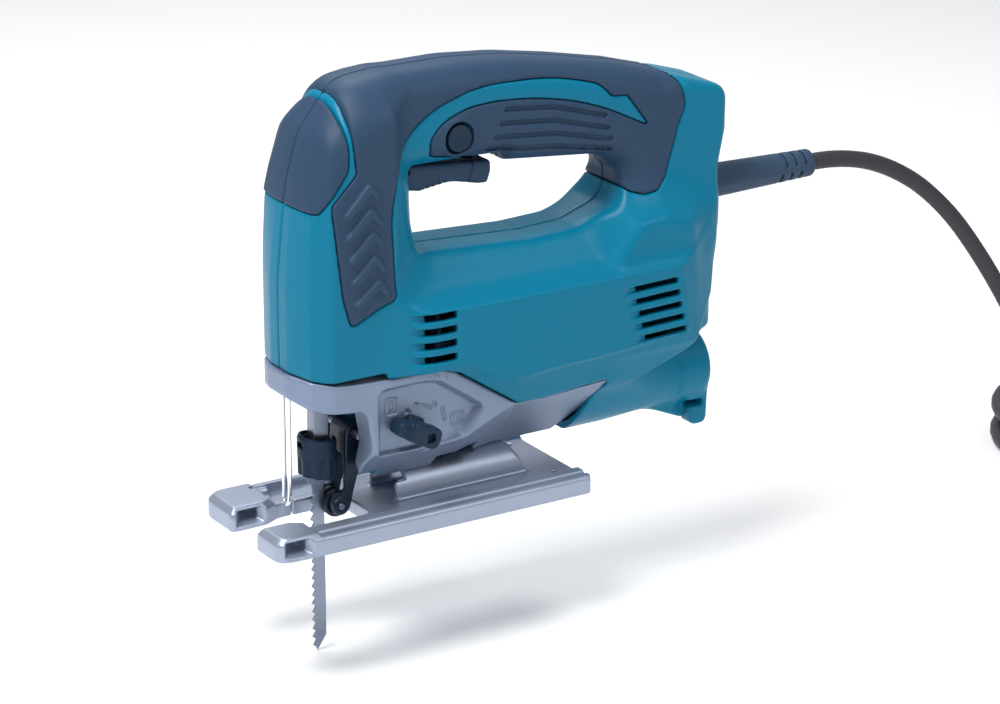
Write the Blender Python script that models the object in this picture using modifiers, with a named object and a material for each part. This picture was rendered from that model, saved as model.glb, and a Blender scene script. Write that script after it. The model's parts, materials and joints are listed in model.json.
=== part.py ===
"""A corded D-handle jigsaw with an orbital lever, a bevelling sole and a tool-free blade clamp.

Frame: the origin is the centre of the sole's bottom face. -X is the cutting direction, +Y the operator's
right and +Z up. Lengths in the tables below are millimetres and are scaled to metres where meshes are made.
"""

import math

import bmesh
import bpy
from mathutils import Matrix, Vector

MM = 0.001
GAP = 0.3  # between pieces that touch

# Driving dimensions, mm
SOLE_LONG, SOLE_WIDE, PLATE_TOP = 159.0, 71.5, 7.0
SADDLE_Z, SADDLE_R, SADDLE_WALL = 8.0, 12.5, 2.5  # the bevel axis and the half cylinder round it
COLUMN_HALF, BODY_HALF, HANDLE_HALF, CASTING_HALF = 26.0, 33.0, 17.5, 26.0
COLUMN_EDGE, BODY_EDGE, HANDLE_EDGE = 10.0, 13.0, 11.0  # the forms' edge radii
RIM_STEPS = 2  # flats round each rim
WALL = 3.0
MOTOR_Z, PINION_TEETH, GEAR_TEETH, MODULE = 87.0, 6, 44, 1.0
GEAR_Z = MOTOR_Z + MODULE * (PINION_TEETH + GEAR_TEETH) / 2 + 0.1
STROKE, BELOW_REST = 23.0, 5.0  # the blade's stroke, and how much of it is below the rest pose
CORE_R, STATOR_R, STATOR_BORE, FAN_R = 16.5, 26.5, 17.5, 24.5
ROD_X, ROD_LONG, ROD_WIDE = -40.3, 7.6, 6.2
CLAMP_X, CLAMP_R, CLAMP_LOW, CLAMP_TOP = -41.0, 8.7, 20.5, 42.0
BLADE_BACK, BLADE_TIPS, BLADE_THICK, BLADE_LOW = -38.0, -45.0, 1.5, -61.2
TOOTH_PITCH, TOOTH_DEPTH = 4.0, 1.9
ROLLER_X, ROLLER_Z, ROLLER_R, GROOVE_R = -33.3, 8.1, 6.2, 4.4
ARM_X, ARM_Z = -26.0, 41.0
GUARD_HALF = 2.5  # half the width of the wire guard's bend
LEVER_X, LEVER_Z, LEVER_TILT = -3.0, 42.5, 156.0
TRIGGER_X, TRIGGER_Z = -1.0, 157.0
LOCK_X, LOCK_Z, LOCK_R = 21.9, 169.7, 6.0
DIAL_X, DIAL_Z, DIAL_R = 145.5, 97.0, 12.0
PORT_Z, PORT_R, PORT_BORE, PORT_END = 38.0, 18.0, 14.5, 158.0
GUARD_X, GUARD_Z, GUARD_END = 159.5, 123.0, 222.0
CORD_R = 4.0
FLOOR = -61.5  # where the cord lies
COIL_X, COIL_Y, COIL_R, COIL_HALF, COIL_HIGH = 428.0, 12.0, 48.0, 12.0, 22.5

# Side outlines as (x, z, corner radius), counter-clockwise seen from -Y
COLUMN = [
    (-60.5, 60, 3), (4, 60, 4), (5, 118, 8), (-1, 136, 12), (-3, 165, 14),
    (4, 199, 12), (-36, 197, 22), (-55, 178, 24), (-60.5, 150, 30),
]
BODY = [
    (-14, 62, 10), (18, 62, 8), (46, 44, 8), (112, 46, 12), (140, 58, 10), (155.5, 84, 12),
    (155.5, 108, 14), (146, 118, 14), (4, 118, 12), (-14, 108, 14),
]
HANDLE = [
    (-20, 100, 18), (150, 92, 20), (159.5, 108, 14), (160.5, 138, 16), (163.5, 152, 12), (160, 168, 16),
    (134, 179, 20), (84, 193, 60), (26, 200.5, 60), (-34, 197.5, 30), (-40, 180, 18), (-38, 130, 18),
]
HOLE = [
    (9, 120, 5), (84, 118.5, 14), (106, 126, 12), (109, 142, 9), (96, 148.5, 10),
    (48, 153, 6), (46, 157.5, 3), (0, 157.5, 3), (1, 146, 8),
]
CASTING = [
    (-60.5, 75, 2), (-59.5, 68, 3), (-52, 65, 8), (-43, 60, 6), (-33, 58.5, 4), (-28, 52, 5),
    (-27.5, 40, 8), (-30, 31, 4), (-27, 19, 4), (-14, 16, 4), (75, 15.5, 8), (84, 27, 8),
    (89, 33, 10), (94.3, 49, 2), (56, 45.6, 8), (47.5, 46.2, 5), (14, 68.2, 5), (7, 70.8, 5),
    (-18, 70.6, 20), (-42, 72, 20),
]
NOSE_PAD = [
    (-70, 148.5, 2), (-51, 148.5, 3), (-47, 154, 3), (-37.5, 166.5, 6), (-37, 176, 8), (-39, 189, 8),
    (-46, 203, 6), (-52, 215, 4), (-70, 215, 4),
]
SIDE_PAD = [
    (-37, 96, 3), (-15.5, 108, 4), (-16.5, 145, 10), (-10, 172, 4), (-31, 180, 4), (-34, 164, 3),
    (-45.5, 151, 3), (-41, 110, 6),
]
TOP_GRIP = [
    (-34.5, 170, 4), (-10, 156, 8), (-5, 171, 10), (10, 186, 16), (44, 192, 40), (95, 184, 20),
    (119, 164, 4), (108, 150, 8), (100, 139, 6), (114, 129, 8), (125, 128.5, 6), (133, 148, 20),
    (140, 170, 8), (133, 182, 8), (129, 215, 4), (-44, 215, 4), (-36, 193, 10),
]
VENTS = [("front", 0, 11, 77.2, 6.3, 4), ("rear", 101, 133, 66.8, 6, 5)]  # from and to X, low Z, step, count
LEVER_RECESS = [(-21, 33.5, 2), (9, 38.5, 4), (18, 41, 3), (25, 48, 2), (4, 61.5, 2), (-24, 61.5, 2)]
PALM_INSET = [
    (33, 158, 4), (101, 149, 8), (128, 150, 8), (122, 163, 4), (92, 179, 10), (62, 185.5, 20), (34, 184, 8),
]

# The cord's way from its guard down to the floor and round the foot of its coil
CORD_ROUTE = [
    (222.3, 0, 123), (234, 0, 122.6), (246, -0.5, 121), (258, -1, 117.8), (270, -2, 112.6), (282, -4, 105.2),
    (293, -6, 95.8), (303.5, -9, 84), (313, -12, 70.4), (322, -15.5, 55.4), (330.5, -19, 39.4),
    (339, -23, 22.6), (347.5, -27, 5.8), (356.5, -31.5, -10.4), (366.5, -36, -25.4), (378, -40.5, -38.4),
    (391, -45.5, -48.4), (405.5, -49.8, -54.8), (419, -52.3, -57.3), (433, -52.6, -57.5),
]
CORD_TAIL = [
    (489, -10.2, -49), (491.4, -3.6, -49.6), (493.8, 3, -50.9), (496.2, 9.6, -52.2), (498.1, 16.8, -53.1),
    (498.8, 24.2, -53.3),
]
PLUG_X, PLUG_Y, PLUG_Z, PLUG_LONG, PLUG_THICK = 498.8, 24.5, -53.3, 44.0, 16.0
PIN_LONG, PIN_R, PIN_APART = 19.0, 2.4, 19.0

COLOURS = {  # base colour, roughness, metallic
    "teal": ((0.0, 0.22, 0.37), 0.32, 0.0),
    "soft_rubber": ((0.05, 0.085, 0.14), 0.7, 0.0),
    "casting": ((0.42, 0.44, 0.52), 0.38, 0.85),
    "sole_metal": ((0.5, 0.52, 0.6), 0.32, 0.9),
    "steel": ((0.55, 0.56, 0.6), 0.25, 1.0),
    "dark_plastic": ((0.02, 0.035, 0.06), 0.45, 0.0),
    "black_steel": ((0.02, 0.025, 0.035), 0.35, 0.6),
    "chrome": ((0.8, 0.82, 0.86), 0.08, 1.0),
    "copper": ((0.72, 0.32, 0.16), 0.35, 0.9),
    "laminate": ((0.25, 0.25, 0.27), 0.5, 0.8),
    "carbon": ((0.03, 0.03, 0.03), 0.6, 0.1),
    "brass": ((0.75, 0.56, 0.25), 0.3, 1.0),
    "cord_rubber": ((0.02, 0.022, 0.028), 0.6, 0.0),
}

for old in list(bpy.data.objects):
    bpy.data.objects.remove(old)


def new_collection(name):
    found = bpy.data.collections.new(name)
    bpy.context.scene.collection.children.link(found)
    return found


PARTS, CUTTERS = new_collection("jigsaw"), new_collection("cutters")


def finish_of(name):
    """The material of this name, made on first use."""
    if name not in bpy.data.materials:
        colour, roughness, metallic = COLOURS[name]
        made = bpy.data.materials.new(name)
        made.use_nodes = True
        shader = made.node_tree.nodes["Principled BSDF"]
        shader.inputs["Base Color"].default_value = (*colour, 1)
        shader.inputs["Roughness"].default_value = roughness
        shader.inputs["Metallic"].default_value = metallic
    return bpy.data.materials[name]


def add(name, mesh, finish=None):
    """An object of this mesh: a part if it has a finish, otherwise a cutter."""
    obj = bpy.data.objects.new(name, mesh)
    (PARTS if finish else CUTTERS).objects.link(obj)
    if finish:
        mesh.materials.append(finish_of(finish).copy())
        mesh.materials[0].name = name
        mesh.shade_smooth()
        mesh.set_sharp_from_angle(angle=math.radians(35))
    else:
        obj.hide_render = True
        obj.display_type = "WIRE"
    return obj


def mesh_of(name, fill):
    """A new mesh, filled by fill(bm) in millimetres and then scaled to metres."""
    bm = bmesh.new()
    fill(bm)
    bmesh.ops.recalc_face_normals(bm, faces=bm.faces)
    bmesh.ops.scale(bm, vec=(MM,) * 3, verts=bm.verts)
    mesh = bpy.data.meshes.new(name)
    bm.to_mesh(mesh)
    bm.free()
    return mesh


def box(name, low, high, finish=None, round_by=0.0):
    """A box between two corners, its edges rounded by round_by."""
    low, high = Vector(low), Vector(high)

    def fill(bm):
        bmesh.ops.create_cube(bm, size=1)
        bmesh.ops.scale(bm, vec=high - low, verts=bm.verts)
        bmesh.ops.translate(bm, vec=(high + low) / 2, verts=bm.verts)

    obj = add(name, mesh_of(name, fill), finish)
    if round_by:
        bevel(obj, round_by)
    return obj


TURNS = {
    "X": Matrix.Rotation(math.pi / 2, 4, "Y"),
    "Y": Matrix.Rotation(-math.pi / 2, 4, "X"),
    "Z": Matrix(),
}


def rod(name, axis, start, end, radius, finish=None, sides=24, at=(0, 0, 0), end_radius=None):
    """A round bar or cone along an axis, from start to end on it, through the point at."""

    def fill(bm):
        bmesh.ops.create_cone(
            bm, cap_ends=True, segments=sides, radius1=radius, depth=end - start,
            radius2=radius if end_radius is None else end_radius,
        )
        bmesh.ops.translate(bm, vec=(0, 0, (start + end) / 2), verts=bm.verts)
        bmesh.ops.transform(bm, matrix=Matrix.Translation(at) @ TURNS[axis], verts=bm.verts)

    return add(name, mesh_of(name, fill), finish)


def ring(name, axis, start, end, radius, bore, finish, sides=24, at=(0, 0, 0)):
    """A tube: a round bar with a bore right through it."""
    obj = rod(name, axis, start, end, radius, finish, sides, at)
    return cut(obj, rod(name + "_bore", axis, start - 1, end + 1, bore, None, sides, at))


def turned(name, profile, matrix, finish, sides=24):
    """A turned piece: profile is (radius, height) from the top down its outer side, turned about Z."""

    def fill(bm):
        verts = [bm.verts.new((radius, 0, height)) for radius, height in profile]
        for a, b in zip(verts, verts[1:]):
            bm.edges.new((a, b))
        if profile[0][0] > 0:
            bm.edges.new((verts[-1], verts[0]))

    obj = add(name, mesh_of(name, fill), finish)
    screw = obj.modifiers.new("turn", "SCREW")
    screw.steps = screw.render_steps = sides
    screw.use_merge_vertices = True
    screw.merge_threshold = 0.00001
    matrix = matrix.copy()
    matrix.translation *= MM
    obj.matrix_world = matrix
    return obj


def bevel(obj, width, segments=2, angle=40):
    rounded = obj.modifiers.new("round", "BEVEL")
    rounded.width = width * MM
    rounded.segments = segments
    rounded.limit_method = "ANGLE"
    rounded.angle_limit = math.radians(angle)
    return obj


def boolean(obj, other, operation):
    made = obj.modifiers.new(operation.lower(), "BOOLEAN")
    made.operation = operation
    made.object = other
    return obj


def cut(obj, *cutters):
    for cutter in cutters:
        boolean(obj, cutter, "DIFFERENCE")
    return obj


def join(obj, *others):
    for other in others:
        boolean(obj, other, "UNION")
    return obj


def keep_inside(obj, other):
    return boolean(obj, other, "INTERSECT")


def corner_points(corners, i):
    """An outline's corner i, the one before it and the one after it."""
    return (Vector(c[:2]) for c in (corners[i], corners[i - 1], corners[(i + 1) % len(corners)]))


def grown(corners, by):
    """The outline moved outwards by this much, with its corner radii following."""
    made = []
    for i, (_, _, radius) in enumerate(corners):
        here, before, after = corner_points(corners, i)
        first, second = (here - before).normalized(), (after - here).normalized()
        turn = first.cross(second)
        out_a, out_b = Vector((first.y, -first.x)), Vector((second.y, -second.x))
        miter = (out_a + out_b) / (1 + out_a.dot(out_b))
        moved = here + miter * by
        made.append((moved.x, moved.y, max(radius + (by if turn > 0 else -by), 0.4)))
    return made


def rounded(corners, steps=2):
    """The outline's points, each corner an arc."""
    points = []
    for i, (_, _, radius) in enumerate(corners):
        here, before, after = corner_points(corners, i)
        back, on = (before - here), (after - here)
        reach = min(radius / math.tan(back.angle(on) / 2), 0.47 * back.length, 0.47 * on.length)
        start, end = here + back.normalized() * reach, here + on.normalized() * reach
        for k in range(steps + 1):
            t = k / steps
            points.append(start * (1 - t) ** 2 + here * 2 * t * (1 - t) + end * t**2)
    return points


def loft(name, rows, finish=None):
    """A closed skin over rows of equally many points, capped at both ends."""

    def fill(bm):
        made = [[bm.verts.new(point) for point in row] for row in rows]
        for a, b in zip(made, made[1:]):
            for i in range(len(a)):
                bm.faces.new((a[i - 1], a[i], b[i], b[i - 1]))
        bm.faces.new(made[0])
        bm.faces.new(reversed(made[-1]))

    return add(name, mesh_of(name, fill), finish)


def pillow(name, corners, half_width, edge_radius, by=0.0, finish=None):
    """A side outline given width about the centre plane, its rims rounded, and grown by this much."""
    edge, half = edge_radius + min(by, 0) * 0.5, half_width + by
    rims = []
    for k in range(RIM_STEPS + 1):
        turn = math.pi / 2 * k / RIM_STEPS
        rims.append((edge * (1 - math.cos(turn)) - half, by - edge * (1 - math.sin(turn))))
    rims += [(-y, inset) for y, inset in reversed(rims)]
    rows = [[(p.x, y, p.y) for p in rounded(grown(corners, inset))] for y, inset in rims]
    return loft(name, rows, finish)


def prism(name, corners, low, high, finish=None):
    """A side outline extruded along Y."""
    points = rounded(corners)
    return loft(name, [[(p.x, y, p.y) for p in points] for y in (low, high)], finish)


def slab(name, corners, low, high, finish=None, steps=2):
    """A plan outline extruded along Z."""
    points = rounded(corners, steps)
    return loft(name, [[(p.x, p.y, z) for p in points] for z in (low, high)], finish)


def curve_piece(name, points, radius, finish, resolution=2):
    """A round wire or cord through the points, as a mesh."""
    data = bpy.data.curves.new(name, "CURVE")
    data.dimensions = "3D"
    data.bevel_depth = radius * MM
    data.bevel_resolution = resolution
    data.use_fill_caps = True
    spline = data.splines.new("POLY")
    spline.points.add(len(points) - 1)
    for spot, point in zip(spline.points, points):
        spot.co = (*(Vector(point) * MM), 1)
    guide = bpy.data.objects.new(name + "_curve", data)
    PARTS.objects.link(guide)
    graph = bpy.context.evaluated_depsgraph_get()
    mesh = bpy.data.meshes.new_from_object(guide.evaluated_get(graph))
    bm = bmesh.new()
    bm.from_mesh(mesh)
    bmesh.ops.remove_doubles(bm, verts=bm.verts, dist=1e-6)
    bmesh.ops.recalc_face_normals(bm, faces=bm.faces)
    bm.to_mesh(mesh)
    bm.free()
    mesh.materials.clear()
    made = add(name, mesh, finish)
    made.matrix_world = guide.matrix_world
    bpy.data.objects.remove(guide)
    return made


def smooth_path(points, per_span=2):
    """Points on a smooth curve through the given ones."""
    points = [Vector(p) for p in points]
    ends = [2 * points[0] - points[1], *points, 2 * points[-1] - points[-2]]
    path = []
    for a, b, c, d in zip(ends, ends[1:], ends[2:], ends[3:]):
        for k in range(per_span):
            t = k / per_span
            bend = (2 * a - 5 * b + 4 * c - d) * t**2 + (3 * b - a - 3 * c + d) * t**3
            path.append((2 * b + (c - a) * t + bend) / 2)
    return [*path, points[-1]]


def helix(centre, axis, radius, length, turns, per_turn=8):
    """The centre line of a coil spring that starts at centre and runs along an axis letter."""
    count = int(turns * per_turn)
    turn = TURNS[axis]
    path = []
    for i in range(count + 1):
        angle = 2 * math.pi * turns * i / count
        spot = Vector((radius * math.cos(angle), radius * math.sin(angle), length * i / count))
        path.append(Vector(centre) + turn @ spot)
    return path


def on_joint(name, spot, *pieces):
    """Parents a moving body's pieces to an empty on its joint's axis."""
    pivot = bpy.data.objects.new(name, None)
    PARTS.objects.link(pivot)
    pivot.location = Vector(spot) * MM
    bpy.context.view_layer.update()
    for piece in pieces:
        piece.parent = pivot
        piece.matrix_parent_inverse = pivot.matrix_world.inverted()
    return pivot


# ---- housing shells and soft grips


def outer_form(label, by):
    """The whole plastic form as a cutter, grown or shrunk: column, motor body, D-handle and dust tube."""
    form = pillow("column_" + label, COLUMN, COLUMN_HALF, COLUMN_EDGE, by)
    tube_end = PORT_END + by if by >= 0 else PORT_END - 8
    join(
        form,
        pillow("body_" + label, BODY, BODY_HALF, BODY_EDGE, by),
        pillow("handle_" + label, HANDLE, HANDLE_HALF, HANDLE_EDGE, by),
        rod("tube_" + label, "X", 84, tube_end, PORT_R + by, sides=36, at=(0, 0, PORT_Z)),
    )
    return cut(form, prism("hole_" + label, grown(HOLE, -by), -60, 60))


def side_box(label, side):
    """All of the space on one side of the centre plane."""
    near, far = sorted((side * GAP / 2, side * 90))
    return box(f"half_{label}", (-120, near, -80), (260, far, 260))


def build_housing():
    outer_form("outer", 0)
    inner = outer_form("inner", -WALL)
    below = prism("casting_room", grown(CASTING, GAP), -60, 60)
    under = box("casting_under", (-70, -60, -5), (84, 60, 50))
    front_low = box("front_low", (-70, -60, 20), (-20, 60, 78))
    bore = rod("port_cut", "X", 106, 190, PORT_BORE, sides=36, at=(0, 0, PORT_Z))
    cord_hole = rod("cord_hole", "X", 140, 190, 8.3, at=(0, 0, GUARD_Z))
    flange_room = rod("flange_room", "X", 147, 152, 11, at=(0, 0, GUARD_Z))
    dial_slot = box("dial_slot", (DIAL_X - 14, -4.6, DIAL_Z - 14), (DIAL_X + 20, 4.6, DIAL_Z + 14))
    mouth = box("trigger_mouth", (-3, -8.8, 140), (47.5, 8.8, 162))
    key_slot = box("key_slot", (146, -30, 20.5), (154, 30, 23.5))
    lock_hole = rod("lock_hole", "Y", -40, -5, LOCK_R + GAP, at=(LOCK_X, 0, LOCK_Z))
    vents = [
        box(f"vent_{end}_{i}", (start, -60, low + step * i - 1.5), (stop, 60, low + step * i + 1.5))
        for end, start, stop, low, step, count in VENTS
        for i in range(count)
    ]
    for name, side in (("left", -1), ("right", 1)):
        shell = pillow(f"housing_{name}", COLUMN, COLUMN_HALF, COLUMN_EDGE, finish="teal")
        join(shell, *(bpy.data.objects[n] for n in ("body_outer", "handle_outer", "tube_outer")))
        lug_side = [(148, 10, 4), (158, 10, 4), (159, 40, 2), (148, 40, 2)]
        lug = prism(f"lug_{name}", lug_side, side * 9 - 4.5, side * 9 + 4.5)
        neck = box(f"neck_{name}", (86, -12, 44), (138, 12, 64))
        join(shell, neck, rod(f"collar_{name}", "X", 140, 163, 11.5, at=(0, 0, GUARD_Z)), lug)
        cut(shell, bpy.data.objects["hole_outer"], inner, below, under, front_low)
        cut(shell, bore, cord_hole, flange_room, dial_slot, mouth, key_slot, *vents)
        if side < 0:
            cut(shell, lock_hole)
        keep_inside(shell, side_box(name, side))


def build_grips():
    skin, under = outer_form("skin", 1.5), outer_form("under_skin", GAP)
    lock_clear = rod("lock_clear", "Y", -40, 0, LOCK_R + 2.2, at=(LOCK_X, 0, LOCK_Z))
    trigger_clear = box("trigger_clear", (-3, -20, 140), (48, 20, 160))
    for name, side in (("left", -1), ("right", 1)):
        near, side_near, far = (side * low for low in (0.3, 11, 60))
        nose = prism(f"nose_pad_{name}", NOSE_PAD, *sorted((near, far)), finish="soft_rubber")
        grip = prism(f"handle_grip_{name}", TOP_GRIP, *sorted((near, far)), finish="soft_rubber")
        column_side = prism(f"grip_side_{name}", SIDE_PAD, *sorted((side_near, far)))
        palm = prism(f"grip_palm_{name}", PALM_INSET, *sorted((side_near, far)))
        join(grip, column_side, palm)
        for pad in (nose, grip):
            keep_inside(pad, skin)
            cut(pad, under)
        cut(grip, trigger_clear, lock_clear)


# ---- gear casting, drive and motor


def gear_outline(teeth, pitch_radius, tip, root, thick):
    """A gear's rim, tooth by tooth: thick is the tooth's width at the pitch circle."""
    points = []
    half = thick / 2 / pitch_radius
    for i in range(teeth):
        middle = 2 * math.pi * i / teeth
        for radius, share in ((root, -1.25), (tip, -0.55), (tip, 0.55), (root, 1.25)):
            points.append((radius, middle + share * half))
    return points


def gear_piece(name, start, end, z, outline, turn, finish):
    rows = [
        [(x, r * math.sin(a + turn), z + r * math.cos(a + turn)) for r, a in outline] for x in (start, end)
    ]
    return loft(name, rows, finish)


def build_casting():
    casting = prism("gear_casting", CASTING, -CASTING_HALF, CASTING_HALF, finish="casting")
    for side in (-1, 1):
        slope = [(9.4, 5), (9.4, 17), (19.6, 27.2), (19.6, 30.6), (40, 51), (40, 5)]
        rows = [[(x, side * y, z) for y, z in slope] for x in (-80, 120)]
        cut(casting, loft(f"belly_{side}", rows))
    cut(
        casting,
        rod("saddle_groove", "X", -40, 110, SADDLE_R + GAP, sides=36, at=(0, 0, SADDLE_Z)),
        rod("nut_room", "X", 12, 34, 21.5, sides=36, at=(0, 0, SADDLE_Z)),
        rod("gear_room", "X", -24.5, -8.6, 24.2, sides=36, at=(0, 0, GEAR_Z)),
        box("yoke_room", (-52, -19, 62.5), (-24, 19, 100)),
        box("rod_bore", (ROD_X - 4.3, -3.6, 40), (ROD_X + 4.3, 3.6, 80)),
        box("bush_seat", (ROD_X - 7.3, -6.6, 61), (ROD_X + 7.3, 6.6, 80)),
        box("front_bay", (-34, -13.3, 14), (-17.7, 13.3, 58.3)),
        rod("clamp_room", "Z", 40, 60.6, CLAMP_R + 0.8, sides=28, at=(CLAMP_X, 0, 0)),
        rod("cam_bore", "Y", -40, 10, 3.3, at=(LEVER_X, 0, LEVER_Z)),
        box("cam_room", (LEVER_X - 6, -17, LEVER_Z - 6), (LEVER_X + 6, 12, 80)),
        prism("lever_recess", LEVER_RECESS, -40, -22),
        box("rear_room", (18, -21, 42), (82, 21, 90)),
        box("motor_room", (0, -30, 58), (30, 30, 90)),
        box("guard_holes", (-57.6, -3.6, 56), (-52, 3.6, 70)),
    )


def build_drive():
    pinion = gear_outline(PINION_TEETH, 3.0, 3.8, 2.0, 1.1)
    wheel = gear_outline(GEAR_TEETH, 22.0, 22.8, 20.8, 1.1)
    half_tooth = math.pi / GEAR_TEETH
    shaft = rod("armature_shaft", "X", -8, 130, 4, "steel", 24, at=(0, 0, MOTOR_Z))
    join(shaft, gear_piece("pinion_teeth", -19.5, -7, MOTOR_Z, pinion, 0, None))
    core = ring("armature_core", "X", 40, 82, CORE_R, 4.3, "laminate", 36, at=(0, 0, MOTOR_Z))
    for k in range(12):
        angle, out = 2 * math.pi * k / 12, CORE_R - 0.6
        spot = (0, out * math.sin(angle), MOTOR_Z + out * math.cos(angle))
        cut(core, rod(f"core_slot_{k}", "X", 30, 90, 1.1, sides=4, at=spot))
    commutator = ring("commutator", "X", 91, 106, 11, 4.3, "copper", at=(0, 0, MOTOR_Z))
    fan = ring("fan", "X", 6, 8, FAN_R, 4.3, "dark_plastic", 36, at=(0, 0, MOTOR_Z))
    corners = [(-0.7, 11), (0.7, 11), (0.7, FAN_R - 1), (-0.7, FAN_R - 1)]
    for k in range(10):
        place = Matrix.Translation((0, 0, MOTOR_Z)) @ Matrix.Rotation(2 * math.pi * k / 10, 4, "X")
        rows = [[place @ Vector((x, y, z)) for y, z in corners] for x in (7, 17)]
        join(fan, loft(f"fan_blade_{k}", rows))
    on_joint("armature", (0, 0, MOTOR_Z), shaft, core, commutator, fan)

    gear = gear_piece("drive_gear", -17.5, -9.2, GEAR_Z, wheel, half_tooth, "steel")
    cut(gear, rod("gear_bore", "X", -30, 0, 4.3, sides=24, at=(0, 0, GEAR_Z)))
    crank_z = -(STROKE / 2 - BELOW_REST)
    crank_y = math.sqrt((STROKE / 2) ** 2 - crank_z**2)
    crank = rod("crank_pin", "X", -24, -17.8, 3.4, "steel", 20, at=(0, crank_y, GEAR_Z + crank_z))
    balance = ring("balance_plate", "X", -20.3, -17.8, 19.5, 5.5, "black_steel", 36, at=(0, 0, GEAR_Z))
    cut(balance, box("balance_cut", (-30, -2.5, GEAR_Z - 40), (0, 40, GEAR_Z + 40)))
    on_joint("gear_train", (0, 0, GEAR_Z), gear, crank, balance)

    rod("gear_spindle", "X", -17.5, 3, 4.0, "steel", 24, at=(0, 0, GEAR_Z))
    plate = box("bearing_plate", (-6, -13.8, 75.5), (-0.5, 13.8, 120.5), "casting", 1.5)
    cut(
        plate,
        rod("spindle_seat", "X", -20, 20, 4.3, sides=24, at=(0, 0, GEAR_Z)),
        rod("bearing_seat", "X", -20, 20, 9.8, sides=32, at=(0, 0, MOTOR_Z)),
    )
    ring("front_bearing", "X", -6, 0, 9.5, 4.3, "steel", at=(0, 0, MOTOR_Z))
    ring("rear_bearing", "X", 120, 127, 8, 4.3, "steel", at=(0, 0, MOTOR_Z))
    stator = ring("stator", "X", 38, 84, STATOR_R, STATOR_BORE, "laminate", 36, at=(0, 0, MOTOR_Z))
    for side in (-1, 1):
        cut(stator, box(f"stator_flat_{side}", (30, 25.8 * side - 3, 40), (90, 25.8 * side + 3, 140)))
    for name, side in (("left", -1), ("right", 1)):
        near, far = sorted((side * 12.5, side * 28))
        low, high = (93, near, MOTOR_Z - 6), (103, far, MOTOR_Z + 6)
        holder = box(f"brush_holder_{name}", low, high, "brass", 0.8)
        cut(holder, box(f"brush_bore_{name}", (94.6, -40, MOTOR_Z - 4.4), (101.4, 40, MOTOR_Z + 4.4)))
        near, far = sorted((side * 11.4, side * 24))
        low, high = (94.9, near, MOTOR_Z - 4.1), (101.1, far, MOTOR_Z + 4.1)
        box(f"carbon_brush_{name}", low, high, "carbon")


# ---- reciprocating rod, blade clamp and blade


def build_plunger():
    low, high = (ROD_X - ROD_LONG / 2, -ROD_WIDE / 2, 36), (ROD_X + ROD_LONG / 2, ROD_WIDE / 2, 162)
    plunger = box("plunger_rod", low, high, "steel", 0.5)
    middle = GEAR_Z - (STROKE / 2 - BELOW_REST)
    yoke = box("crank_yoke", (-36.2, -18, middle - 8), (-24.6, 18, middle + 8), "black_steel", 1.0)
    cut(yoke, box("yoke_slot", (-32.5, -15.2, middle - 3.9), (-20, 15.2, middle + 3.9)))
    holder = rod("clamp_holder", "Z", 22.5, 35.7, 6.2, "black_steel", 24, at=(CLAMP_X, 0, 0))
    cut(holder, box("shank_slot", (CLAMP_X - 4.2, -1.05, 18), (CLAMP_X + 4.2, 1.05, 34)))
    spring = curve_piece("clamp_spring", helix((CLAMP_X, 0, 36.5), "Z", 7.0, 3.6, 3), 0.45, "steel", 1)
    outline = [(BLADE_BACK, 33.5), (BLADE_TIPS + 1, 33.5), (BLADE_TIPS + 1, 18), (BLADE_TIPS + 2, 15)]
    teeth = int((15 - 4 - BLADE_LOW) / TOOTH_PITCH)
    for i in range(teeth):
        z = 12 - i * TOOTH_PITCH
        outline += [(BLADE_TIPS + TOOTH_DEPTH, z), (BLADE_TIPS, z - TOOTH_PITCH * 0.55)]
    outline += [(BLADE_TIPS + 1.8, BLADE_LOW + 1.5), (BLADE_TIPS + 2.4, BLADE_LOW)]
    outline += [(BLADE_BACK, BLADE_LOW + 7)]
    rows = [[(x, y, z) for x, z in outline] for y in (-BLADE_THICK / 2, BLADE_THICK / 2)]
    blade = loft("blade", rows, "steel")
    on_joint("plunger", (ROD_X, 0, 60), plunger, yoke, holder, spring, blade)

    spot = (CLAMP_X, 0, 0)
    sleeve = ring("clamp_sleeve", "Z", CLAMP_LOW, CLAMP_TOP, CLAMP_R, 6.5, "dark_plastic", 28, at=spot)
    cut(sleeve, rod("spring_room", "Z", 36, 41, 7.8, sides=28, at=(CLAMP_X, 0, 0)))
    on_joint("clamp", (CLAMP_X, 0, 30), sleeve)

    lower = box("lower_bush", (ROD_X - 7, -6.3, 61.3), (ROD_X + 7, 6.3, 72), "brass", 0.6)
    upper = box("upper_bush", (ROD_X - 7, -6.3, 138), (ROD_X + 7, 6.3, 150), "brass", 0.6)
    room = (ROD_LONG / 2 + 0.1, ROD_WIDE / 2 + 0.1)
    bush_bore = box("bush_bore", (ROD_X - room[0], -room[1], 50), (ROD_X + room[0], room[1], 160))
    for bush in (lower, upper):
        cut(bush, bush_bore)
    down = [(-56, -GUARD_HALF, z) for z in (66, 40, 16)]
    bend = []
    for k in range(9):
        angle = math.pi * k / 8
        across, drop = GUARD_HALF * math.cos(angle), GUARD_HALF * math.sin(angle)
        bend.append((-56.4 - 0.16 * drop, -across, 14.5 - drop))
    up = [(x, -y, z) for x, y, z in reversed(down)]
    curve_piece("wire_guard", [*down, *bend, *up], 1.05, "chrome")


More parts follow.
